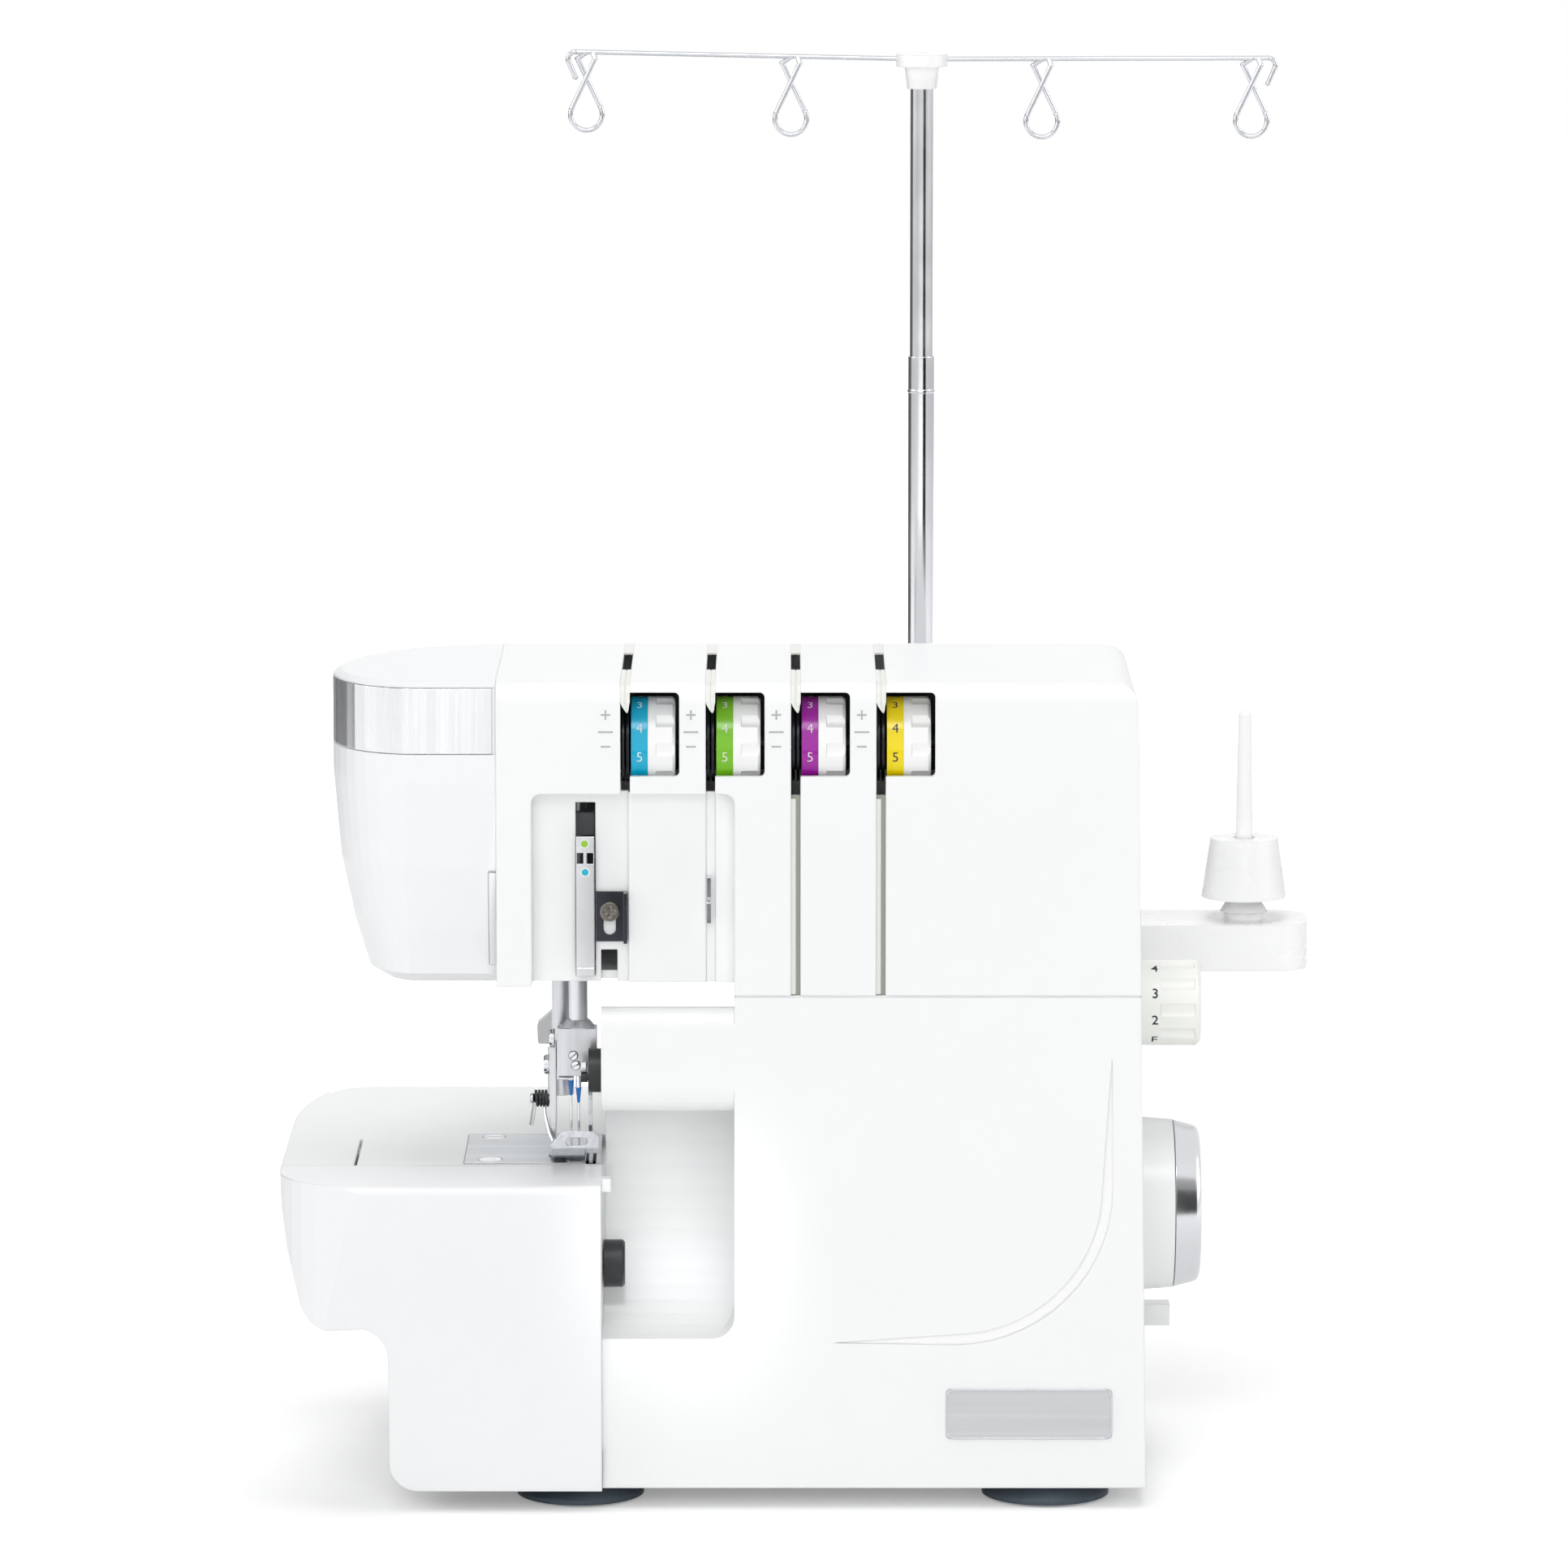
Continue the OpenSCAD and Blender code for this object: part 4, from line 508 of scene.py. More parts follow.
class Look(Enum):
    """Every finish on the machine, by what it is used for."""

    WHITE = MouldedPlastic("white_shell", "#F6F7F7", roughness=0.3)
    FACE_WHITE = MouldedPlastic("face_shell", "#F4F5F6", roughness=0.32)
    COVER_WHITE = MouldedPlastic("cover_shell", "#F3F4F5", roughness=0.32)
    BED_WHITE = MouldedPlastic("bed_shell", "#F4F5F5", roughness=0.36)
    INNER = MouldedPlastic("inner_wall", "#E9EAEA", roughness=0.42)
    WHEEL_WHITE = MouldedPlastic("wheel_shell", "#F3F4F4", roughness=0.28)
    KNOB_WHITE = MouldedPlastic("dial_knob", "#F9F9F9", roughness=0.33, rounding=0.5)
    DIAL_WHITE = MouldedPlastic("length_dial", "#F7F8F3", roughness=0.35, rounding=0.5)
    PALE = MouldedPlastic("pale_plastic", "#FDFDFD", roughness=0.26, rounding=0.7, milky=0.25)
    GREY_PLASTIC = MouldedPlastic("grey_lever", "#D9DADA", roughness=0.35, rounding=0.5)
    BLACK = MouldedPlastic("black_plastic", "#26282A", roughness=0.4, rounding=0.4)
    PAN = MouldedPlastic("pan_plastic", "#DADBDC", roughness=0.5)
    CYAN = MouldedPlastic("ring_cyan", "#00ADD2", roughness=0.16, rounding=0.3)
    GREEN = MouldedPlastic("ring_green", "#78BE1E", roughness=0.16, rounding=0.3)
    PURPLE = MouldedPlastic("ring_purple", "#A01AA0", roughness=0.16, rounding=0.3)
    YELLOW = MouldedPlastic("ring_yellow", "#F4DC00", roughness=0.16, rounding=0.3)
    # Lighter than the shell: painted highlight on the pressed line, whose wide rounding also softens its
    # shading.
    CREASE = MouldedPlastic("pressed_crease", "#FCFCFC", roughness=0.28, rounding=2.4)
    # Dark grey-green tone: painted shade on the walls of the deep grooves under the dial windows.
    GROOVE = MouldedPlastic("dial_groove", "#9A9D92", roughness=0.4, rounding=0.6)
    LINING = MouldedPlastic("slot_lining", "#ECEDE8", roughness=0.32, rounding=0.2)
    SATIN_CHROME = BrushedMetal("satin_chrome", "#E6E7E9", Axis.Z, roughness=0.24, streak=0.97)
    # Near-black steel: painted shade on the tension posts, which sit deep in their slots.
    DARK_STEEL = BrushedMetal("dark_steel", "#3A3C40", Axis.Z, roughness=0.3, streak=0.85)
    CHROME = PolishedMetal("bright_chrome", "#E0E1E4")
    # Near-black base colour: painted dark reflection on the plated arm thread guide.
    BRACKET = PolishedMetal("bracket_plate", "#4A4C52", roughness=0.12)
    DARK_CHROME = PolishedMetal("dark_chrome", "#98938A", roughness=0.1)
    WHEEL_CHROME = PolishedMetal("wheel_chrome", "#DCDDE0", roughness=0.18)
    WIRE = PolishedMetal("plated_wire", "#D4D6DA", roughness=0.16, rounding=0.0)
    STEEL = BrushedMetal("ground_steel", "#DADCDF", Axis.Z, roughness=0.28)
    BLADE = BrushedMetal("blade_steel", "#BFC3C8", Axis.Y, roughness=0.24)
    FOOT_STEEL = BrushedMetal("foot_steel", "#CFD2D6", Axis.Y, roughness=0.2)
    PLATE = BrushedMetal("plate_steel", "#CDD1D4", Axis.X, roughness=0.34, streak=0.93)
    BADGE = BrushedMetal("badge_face", "#D0D2D4", Axis.X, roughness=0.42, streak=0.93, metallic=0.6)
    BADGE_RIM = PolishedMetal("badge_rim", "#D8D9DE", roughness=0.18)
    CASTING = CastMetal("grey_casting", "#8F9396")
    MOTOR = CastMetal("motor_case", "#3C4043", metallic=0.5)
    BELT = Rubber("belt_rubber", "#1F2022")
    FEET = Rubber("foot_rubber", "#404B56", roughness=0.5)
    INK_WHITE = Ink("white_ink", "#F4F4F2")
    INK_NAVY = Ink("navy_ink", "#141A2E")
    INK_GREY = Ink("grey_ink", "#B4B6B8")
    INK_BLUE = Ink("blue_ink", "#1AB6D2")
    INK_GREEN = Ink("green_ink", "#98CC3A")
    CONE_BLUE = MouldedPlastic("needle_blue", "#0F6FC0", roughness=0.2, rounding=0.1)


@dataclass
class Paintshop:
    """Makes each finish once and puts it on nodes and pieces."""

    shelf: EffectShelf = field(default_factory=EffectShelf)
    made: dict[Look, bpy.types.Material] = field(default_factory=dict)

    def finish(self, look: Look) -> bpy.types.Material:
        """Return the material of a look, built on first use."""
        if look not in self.made:
            self.made[look] = look.value.make(self.shelf)
        return self.made[look]

    def coat(self, thing: Thing, look: Look) -> None:
        """Give an object one finish all over.

        Args:
            thing: A mesh or curve object.
            look: The finish it takes.
        """
        material = self.finish(look)
        if not thing.material_slots:
            thing.data.materials.append(material)
        for place in thing.material_slots:
            place.material = material


@dataclass(frozen=True)
class Zone:
    """A box of space whose faces on a node take a second finish."""

    low: Point
    high: Point

    def holds(self, place: Vector) -> bool:
        """Tell whether a point lies inside."""
        return all(a <= value <= b for a, value, b in zip(self.low, place, self.high))


def wearing(**looks: Look) -> dict[str, Look]:
    return field(default_factory=lambda: dict(looks))


@dataclass
class SubAssembly:
    """A named group of nodes and added pieces that are dressed together."""

    frame: dict
    shop: Paintshop
    looks: dict[str, Look] = field(default_factory=dict)
    made: list[str] = field(default_factory=list)

    def dress(self) -> None:
        """Put each frame node's finish on it."""
        for node, look in self.looks.items():
            self.shop.coat(self.frame["nodes"][node], look)
            self.made.append(node)

    def inlay(self, node: str, look: Look, zones: Sequence[Zone]) -> None:
        """Give the faces of a node that lie in some zones a second finish.

        Args:
            node: The frame node.
            look: The second finish.
            zones: Where it goes.
        """
        mesh = self.frame["nodes"][node].data
        mesh.materials.append(self.shop.finish(look))
        index = len(mesh.materials) - 1
        for face in mesh.polygons:
            if any(zone.holds(face.center) for zone in zones):
                face.material_index = index

    def build(self) -> None:
        """Make the pieces that the frame leaves out; plain groups have none."""

    def piece(self, name: str, form: Form, look: Look, body: str, slot: str) -> Thing:
        """Turn a worked mesh into a dressed piece that rides on a body.

        Args:
            name: The piece's name.
            form: Its worked mesh, freed here.
            look: The finish it takes.
            body: The frame body that carries it.
            slot: The record's material slot; not used.

        Returns:
            The new object.
        """
        bmesh.ops.recalc_face_normals(form, faces=form.faces)
        return self.adopt(stand(name, form), look, body, slot)

    def adopt(self, thing: Thing, look: Look, body: str, slot: str) -> Thing:
        """Dress a linked object and let it ride on a body."""
        self.shop.coat(thing, look)
        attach(thing, body)
        self.made.append(thing.name)
        return thing

    def report(self) -> None:
        """Log every piece that this group dressed or made."""
        for name in self.made:
            LOG.info("%s: %s", type(self).__name__, name)


def in_mm(points: Sequence[Pair]) -> list[Pair]:
    """Turn pairs written in millimetres into metres."""
    return [(a * MM, b * MM) for a, b in points]


def stand(name: str, form: Form) -> Thing:
    """Turn a form into an object of the scene and free the form."""
    mesh = bpy.data.meshes.new(name)
    form.to_mesh(mesh)
    form.free()
    thing = bpy.data.objects.new(name, mesh)
    bpy.context.scene.collection.objects.link(thing)
    return thing


def absorb(whole: Form, form: Form) -> None:
    """Add one form to another and free it."""
    held = bpy.data.meshes.new("held_form")
    form.to_mesh(held)
    form.free()
    whole.from_mesh(held)
    bpy.data.meshes.remove(held)


def arc(start: float, end: float, count: int) -> list[Pair]:
    """List the sine and cosine of evenly spaced angles in degrees, both ends included."""
    turns = [math.radians(start + (end - start) * i / (count - 1)) for i in range(count)]
    return [(math.sin(turn), math.cos(turn)) for turn in turns]


def lathe(profile: Sequence[Pair], steps: int = 40) -> Form:
    """Spin a profile about Z.

    Args:
        profile: Radius and height pairs in metres.
        steps: Facets round the turn.

    Returns:
        A closed turned form with its axis on Z.
    """
    form = bmesh.new()
    line = [form.verts.new((r, 0.0, z)) for r, z in profile]
    edges = [form.edges.new(pair) for pair in zip(line, line[1:])]
    bmesh.ops.spin(
        form, geom=line + edges, axis=(0, 0, 1), cent=(0, 0, 0), dvec=(0, 0, 0), angle=math.tau, steps=steps
    )
    bmesh.ops.remove_doubles(form, verts=form.verts, dist=WELD)
    for face in form.faces:
        face.smooth = True
    return form


def prism(outline: Sequence[Pair], depth: float) -> Form:
    """Raise a flat outline into a slab.

    Args:
        outline: Corner points in metres.
        depth: How thick the slab is, up from Z = 0.

    Returns:
        The slab.
    """
    form = bmesh.new()
    face = form.faces.new([form.verts.new((x, y, 0.0)) for x, y in outline])
    raised = bmesh.ops.extrude_face_region(form, geom=[face])
    corners = [v for v in raised["geom"] if isinstance(v, bmesh.types.BMVert)]
    bmesh.ops.translate(form, verts=corners, vec=(0, 0, depth))
    return form


def skin_rings(form: Form, rings: Sequence[list[bmesh.types.BMVert]]) -> None:
    """Lay faces between closed rings of as many points each, one ring after another."""
    for a, b in zip(rings, rings[1:]):
        for i in range(len(a)):
            j = (i + 1) % len(a)
            form.faces.new((a[i], a[j], b[j], b[i]))


def loft(form: Form, rings: Sequence[list[bmesh.types.BMVert]]) -> None:
    """Skin closed rings of points one after another and cap both ends."""
    skin_rings(form, rings)
    form.faces.new(rings[0])
    form.faces.new(rings[-1])


def slotted_head(radius: float, height: float, slot: float, angle: float) -> Form:
    """Shape a low screw head with a driver slot across it.

    Args:
        radius: The head's radius.
        height: The head's height, up from Z = 0.
        slot: The slot's width.
        angle: How far the slot is turned, in degrees.

    Returns:
        The head with its axis on Z.
    """
    low = height * 0.45
    edge = height * 0.25
    form = lathe([(0.0, 0.0), (radius, 0.0), (radius, low), (0.0, low)], 36)
    for side in (1, -1):
        start = math.asin(slot / 2 / radius)
        rim = []
        for i in range(19):
            turn = start + (math.pi - 2 * start) * i / 18
            rim.append((math.cos(turn), side * math.sin(turn)))
        rings = []
        for reach, level in ((radius, low - 1e-6), (radius, height - edge), (radius - edge, height)):
            ring = [(x * reach, side * max(abs(y) * reach, slot / 2), level) for x, y in rim]
            rings.append([form.verts.new(point) for point in ring])
        skin_rings(form, rings)
        form.faces.new(rings[-1])
        form.faces.new(rings[0][::-1])
    form.transform(Matrix.Rotation(math.radians(angle), 4, "Z"))
    return form


def facing_front(place: Vector) -> Matrix:
    """Return the placing that turns a form's Z towards the front (-Y) at a place."""
    return Matrix.Translation(place) @ Matrix.Rotation(math.pi / 2, 4, "X")


def glyphs(text: str, height: float, weight: float = 0.0) -> Form:
    """Cut printed characters as a flat mesh centred on the origin.

    Args:
        text: What is printed.
        height: Height of the characters in metres.
        weight: How far the outline moves out, as a share of the font size.

    Returns:
        The flat mesh in the XY plane.
    """
    font = bpy.data.curves.new("glyph_" + text, "FONT")
    font.body = text
    font.resolution_u = 5
    font.offset = weight
    holder = bpy.data.objects.new("glyph_holder", font)
    bpy.context.scene.collection.objects.link(holder)
    seen = holder.evaluated_get(bpy.context.evaluated_depsgraph_get())
    mesh = bpy.data.meshes.new_from_object(seen)
    form = bmesh.new()
    form.from_mesh(mesh)
    bpy.data.objects.remove(holder)
    bpy.data.curves.remove(font)
    bpy.data.meshes.remove(mesh)
    bmesh.ops.remove_doubles(form, verts=form.verts, dist=1e-5)
    low = Vector([min(v.co[i] for v in form.verts) for i in range(3)])
    high = Vector([max(v.co[i] for v in form.verts) for i in range(3)])
    grow = height / (high.y - low.y)
    middle = (low + high) / 2
    for vert in form.verts:
        vert.co = (vert.co - middle) * grow
    return form


@dataclass
class Drum:
    """A round surface whose axis runs along X, on which characters are printed."""

    centre: Vector
    radius: float

    def print_on(self, form: Form, x: float, angle: float, lift: float) -> None:
        """Wrap a flat form round the drum.

        Args:
            form: The flat form; its X runs along the axis and its Y round the drum.
            x: Where along the axis its middle comes.
            angle: Height angle of its middle, seen from the front, in degrees.
            lift: How far it stands off the surface.
        """
        low = min(v.co.y for v in form.verts)
        high = max(v.co.y for v in form.verts)
        step = self.radius * math.radians(2.0)
        level = low + step
        while level < high:
            geom = form.verts[:] + form.edges[:] + form.faces[:]
            bmesh.ops.bisect_plane(form, geom=geom, plane_co=(0, level, 0), plane_no=(0, 1, 0))
            level += step
        for vert in form.verts:
            turn = math.radians(angle) + vert.co.y / self.radius
            reach = self.radius + lift + vert.co.z
            y = self.centre.y - reach * math.cos(turn)
            z = self.centre.z + reach * math.sin(turn)
            vert.co = Vector((x + vert.co.x, y, z))


@dataclass(frozen=True)
class Lamp:
    """One soft square lamp that faces the machine."""

    name: str
    place: Point
    size: float
    power: float
    mirrored: bool = True
    aim: Point = (0.0, -0.02, 0.2)
    spread: float = 180.0


@dataclass(frozen=True)
class Flag:
    """A card, dark or bright, that is only seen in reflections."""

    name: str
    corners: tuple[Point, ...]
    tone: float


def upright(name: str, x: Pair, y: float, z: Pair, tone: float) -> Flag:
    """Describe a card that stands square to the machine's front."""
    return Flag(name, ((x[0], y, z[0]), (x[1], y, z[0]), (x[1], y, z[1]), (x[0], y, z[1])), tone)


@dataclass
class Studio:
    """Plain pale floor, soft lamps, cards for the metal to mirror, and the camera."""

    eye: Vector = field(default_factory=lambda: Vector((-0.0085, -2.966, 0.69005)))
    tilt: float = 81.3
    lens: float = 195.65
    floor_size: float = 12.0
    room_light: float = 0.15
    room_tint: Colour = (0.98, 0.99, 1.0)
    mirror_share: float = 0.43
    fade_reach: Pair = (0.22, 0.75)
    fade_glow: Pair = (0.24, 1.0)
    lamps: tuple[Lamp, ...] = (
        Lamp("front_lamp", (0.0, -3.2, 0.8), 2.2, 46.0, False),
        Lamp("high_lamp", (-0.35, -2.3, 2.0), 1.6, 11.0, False),
        Lamp("left_lamp", (-2.1, -0.45, 1.1), 1.4, 13.0),
        Lamp("right_lamp", (2.1, -0.35, 1.1), 1.4, 12.0),
        Lamp("rear_lamp", (0.3, 2.4, 1.3), 1.4, 26.0, False),
        Lamp("top_lamp", (0.0, -0.1, 2.3), 1.5, 19.0, False),
        Lamp("low_snoot", (-0.046, -0.62, 0.44), 0.05, 0.0034, False, (-0.044, -0.08, 0.068), 6.0),
        Lamp("high_snoot", (-0.046, -0.9, 0.22), 0.05, 0.0010, False, (-0.045, -0.05, 0.098), 4.0),
    )
    flags: tuple[Flag, ...] = (
        upright("near_flag", (-0.083, 0.1), -0.6, (0.09, 0.17), 0.02),
        upright("side_flag", (0.34, 0.66), -0.6, (0.03, 0.42), 0.02),
        upright("fade_flag", (0.34, 0.66), -0.6, (0.42, 0.75), 0.35),
        upright("mast_flag", (0.42, 1.0), -1.25, (0.0, 0.5), 0.02),
        Flag(
            "sky_card", ((-0.7, -1.3, 1.46), (0.7, -1.3, 1.46), (0.7, -0.78, 1.46), (-0.7, -0.78, 1.46)), 5.5
        ),
        Flag("left_flag", ((-1.6, 0.35, 0.0), (-0.55, 1.3, 0.0), (-0.55, 1.3, 0.9), (-1.6, 0.35, 0.9)), 0.14),
    )

    def build(self) -> None:
        """Set up everything round the machine."""
        scene = bpy.context.scene
        scene.view_settings.view_transform = "Standard"
        self._camera(scene)
        self._world(scene)
        self._floor()
        for lamp in self.lamps:
            self._lamp(lamp)
        for flag in self.flags:
            self._flag(flag)
        LOG.info("Studio: floor, %d lamps, %d cards and camera", len(self.lamps), len(self.flags))

    def _camera(self, scene: bpy.types.Scene) -> None:
        """Place the camera."""
        data = bpy.data.cameras.new("camera")
        data.lens = self.lens
        data.sensor_width = 36.0
        data.clip_end = 50.0
        camera = bpy.data.objects.new("camera", data)
        camera.location = self.eye
        camera.rotation_euler = (math.radians(self.tilt), 0.0, 0.0)
        scene.collection.objects.link(camera)
        scene.camera = camera

    def _world(self, scene: bpy.types.Scene) -> None:
        """Surround the machine with white that is dim as a lamp and full to the eye."""
        world = bpy.data.worlds.new("soft_room")
        scene.world = world
        world.use_nodes = True
        tree = world.node_tree
        tree.nodes.clear()
        path = add_node(tree, "LightPath").outputs
        shown = path["Is Camera Ray"]
        for other in ("Is Transmission Ray", "Is Glossy Ray"):
            shown = add_node(tree, "Math", {0: shown, 1: path[other]}, operation="MAXIMUM").outputs[0]
        room = add_node(tree, "Background", {"Color": self.room_tint, "Strength": self.room_light}).outputs[0]
        seen = add_node(tree, "Background", {"Color": (1.0, 1.0, 1.0)}).outputs[0]
        mix = add_node(tree, "MixShader", {0: shown, 1: room, 2: seen}).outputs[0]
        add_node(tree, "OutputWorld", {"Surface": mix})

    def _floor(self) -> None:
        """Lay the floor, white to the eye but still able to hold a shadow."""
        form = bmesh.new()
        bmesh.ops.create_grid(form, x_segments=4, y_segments=4, size=self.floor_size / 2)
        floor = self._staged("floor", form)
        material = bpy.data.materials.new("floor_paper")
        material.use_nodes = True
        tree = material.node_tree
        shader = tree.nodes["Principled BSDF"]
        for name, value in (("Base Color", (0.9, 0.9, 0.9)), ("Roughness", 0.9), ("Specular IOR Level", 0.1)):
            fill(tree, shader.inputs[name], value)
        path = add_node(tree, "LightPath").outputs
        feeds = {0: path["Is Glossy Ray"], 1: self.mirror_share, 2: path["Is Camera Ray"]}
        straight = add_node(tree, "Math", feeds, operation="MULTIPLY_ADD").outputs[0]
        place = add_node(tree, "NewGeometry").outputs["Position"]
        reach = add_node(tree, "VectorMath", {0: place}, operation="LENGTH").outputs["Value"]
        fade = ramp(tree, reach, self.fade_reach, self.fade_glow)
        share = add_node(tree, "Math", {0: straight, 1: fade}, operation="MULTIPLY").outputs[0]
        glow = add_node(tree, "Emission", {"Strength": share}).outputs[0]
        both = add_node(tree, "AddShader", {0: shader.outputs[0], 1: glow}).outputs[0]
        fill(tree, tree.nodes["Material Output"].inputs["Surface"], both)
        floor.data.materials.append(material)

    @staticmethod
    def _staged(name: str, form: Form) -> Thing:
        """Turn a form into an object of the studio and free the form."""
        thing = stand(name, form)
        return thing

    def _flag(self, flag: Flag) -> None:
        """Stand one card where polished metal mirrors it."""
        form = bmesh.new()
        form.faces.new([form.verts.new(corner) for corner in flag.corners])
        card = self._staged(flag.name, form)
        material = bpy.data.materials.new(flag.name + "_cloth")
        material.use_nodes = True
        tree = material.node_tree
        tree.nodes.remove(tree.nodes["Principled BSDF"])
        glow = add_node(tree, "Emission", {"Strength": flag.tone}).outputs[0]
        fill(tree, tree.nodes["Material Output"].inputs["Surface"], glow)
        card.data.materials.append(material)
        for ray in ("camera", "diffuse", "transmission", "volume_scatter", "shadow"):
            setattr(card, "visible_" + ray, False)

    @staticmethod
    def _lamp(lamp: Lamp) -> None:
        """Hang one lamp and turn it to the machine."""
        data = bpy.data.lights.new(lamp.name, "AREA")
        data.size = lamp.size
        data.energy = lamp.power
        data.spread = math.radians(lamp.spread)
        thing = bpy.data.objects.new(lamp.name, data)
        thing.location = lamp.place
        aim = Vector(lamp.aim) - Vector(lamp.place)
        thing.rotation_euler = aim.to_track_quat("-Z", "Y").to_euler()
        thing.visible_glossy = lamp.mirrored
        thing.visible_camera = False
        bpy.context.scene.collection.objects.link(thing)


@dataclass
class Housing(SubAssembly):
    """The outer shell, its base and the bare badge."""

    looks: dict[str, Look] = wearing(
        lower_housing=Look.WHITE,
        upper_housing=Look.WHITE,
        rear_cover=Look.WHITE,
        base_pan=Look.PAN,
        rubber_feet=Look.FEET,
        badge_plate=Look.BADGE,
    )
    rim_width: float = 0.6 * MM
    rim_rise: float = 0.25 * MM
    rim_corner: float = 3.0 * MM
    crease_low: Point = (125.0 * MM, 0.02 * MM, 40.0 * MM)
    crease_high: Point = (4.0 * MM, 0.8 * MM, 12.0 * MM)
    groove_width: float = 3.2 * MM
    groove_shift: float = 1.3 * MM
    groove_edge: float = 0.8 * MM
    groove_reach: Pair = (0.05 * MM, 30.0 * MM)
    groove_margin: float = 1.0 * MM
    slot_shift: float = 2.0 * MM
    lining_sink: float = 0.8 * MM
    lining_wall: float = 0.7 * MM
    brow: float = 7.0 * MM
    tongue_run: Pair = (37.0 * MM, 24.0 * MM)
    bridge_run: Point = (74.0 * MM, 85.0 * MM, 96.3 * MM)
    tongue_tip: tuple[Point, ...] = ((8.4, 1.2, 0.15), (9.7, 0.72, 0.5), (10.7, 0.16, 0.7))
    line_width: float = 0.3 * MM
    rail_drop: float = 68.0 * MM
    rail_round: float = 0.6 * MM
    rail_floor: float = 1.63 * MM
    rail_crest: float = 0.7 * MM
    rail_shy: float = 0.25 * MM

    def build(self) -> None:
        """Paint a highlight on the pressed line and shade into the grooves, line the grooves and frame the
        bare badge with a thin bright rim.
        """
        self._creases()
        for number in range(1, 5):
            self._lining(number)
        for number in (3, 4):
            self._rail(number)
        low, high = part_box("badge_plate")
        outer = self._rounded(low, high, 0.0)
        inner = self._rounded(low, high, self.rim_width)
        form = bmesh.new()
        loops = []
        for ring, rise in ((outer, 0.0), (outer, self.rim_rise), (inner, self.rim_rise), (inner, 0.0)):
            loops.append([form.verts.new((x, low.y - rise, z)) for x, z in ring])
        skin_rings(form, loops + loops[:1])
        self.piece("badge_rim", form, Look.BADGE_RIM, "machine", "brushed_plate")

    def _creases(self) -> None:
        """Paint a highlight on the pressed line and shade into the grooves under the dial windows."""
        low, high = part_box("lower_housing")
        # The pressed line's faces take a lighter tone: painted highlight.
        start = (high.x - self.crease_low[0], low.y + self.crease_low[1], self.crease_low[2])
        end = (high.x - self.crease_high[0], low.y + self.crease_high[1], high.z - self.crease_high[2])
        self.inlay("lower_housing", Look.CREASE, [Zone(start, end)])
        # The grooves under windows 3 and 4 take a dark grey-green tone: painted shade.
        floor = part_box("upper_housing")[0].z - self.groove_margin
        zones = []
        for number in (3, 4):
            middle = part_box(f"tension_ring_{number}")[0].x - self.groove_shift
            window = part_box(f"tension_ring_{number}")[0].z - self.groove_margin
            start = (middle - self.groove_width, low.y + self.groove_reach[0], floor)
            end = (middle + self.groove_edge, low.y + self.groove_reach[1], window)
            zones.append(Zone(start, end))
        self.inlay("upper_housing", Look.GROOVE, zones)

    def _slot_middle(self, number: int) -> float:
        """Give the X of the middle of one thread slot."""
        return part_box(f"tension_ring_{number}")[0].x - self.slot_shift

    def _lining(self, number: int) -> None:
        """Lay the two light linings of a thread slot, a pointed tongue in front and a bridge behind.

        Args:
            number: Which slot, from the left.
        """
        low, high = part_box("upper_housing")
        middle = self._slot_middle(number)
        full = self.groove_width / 2 + 0.05 * MM
        top = high.z - self.lining_sink
        bend = low.y + self.brow
        sink = self.brow - self.lining_sink
        track = [(low.y + reach, top, full, 0.0) for reach in self.tongue_run]
        track.append((bend, top, full, 0.0))
        for sine, cosine in arc(30.0, 90.0, 3):
            track.append((bend - sink * sine, high.z - self.brow + sink * cosine, full, 0.0))
        face = low.y + self.lining_sink
        for drop, half, shift in self.tongue_tip:
            track.append((face, high.z - drop * MM, half * MM, shift * MM))
        self._strip(f"slot_tongue_{number}", middle, track)
        rear = [(low.y + reach, top, full, 0.0) for reach in self.bridge_run]
        self._strip(f"slot_bridge_{number}", middle, rear)

    def _strip(self, name: str, middle: float, track: Sequence[tuple[float, float, float, float]]) -> None:
        """Run a thin grooved strip along a slot.

        Args:
            name: The piece's name.
            middle: X of the slot's middle.
            track: Y, Z, half width and sideways shift at each station, from the rear to the front end.
        """
        form = bmesh.new()
        rings = []
        for place, (y, z, half, shift) in enumerate(track):
            before = track[max(place - 1, 0)]
            after = track[min(place + 1, len(track) - 1)]
            run = Vector((0.0, after[0] - before[0], after[1] - before[1])).normalized()
            inward = Vector((0.0, -run.z, run.y))
            core = Vector((middle + shift, y, z))
            line = min(self.line_width, half * 0.4)
            ring = []
            for across, sunk in (
                (-half, 0.0), (-half, self.lining_wall), (half, self.lining_wall), (half, 0.0),
                (line, 0.0), (0.0, self.line_width), (-line, 0.0),
            ):
                ring.append(form.verts.new(core + Vector((across, 0.0, 0.0)) + inward * sunk))
            rings.append(ring)
        loft(form, rings)
        self.piece(name, form, Look.LINING, "machine", "white_plastic")

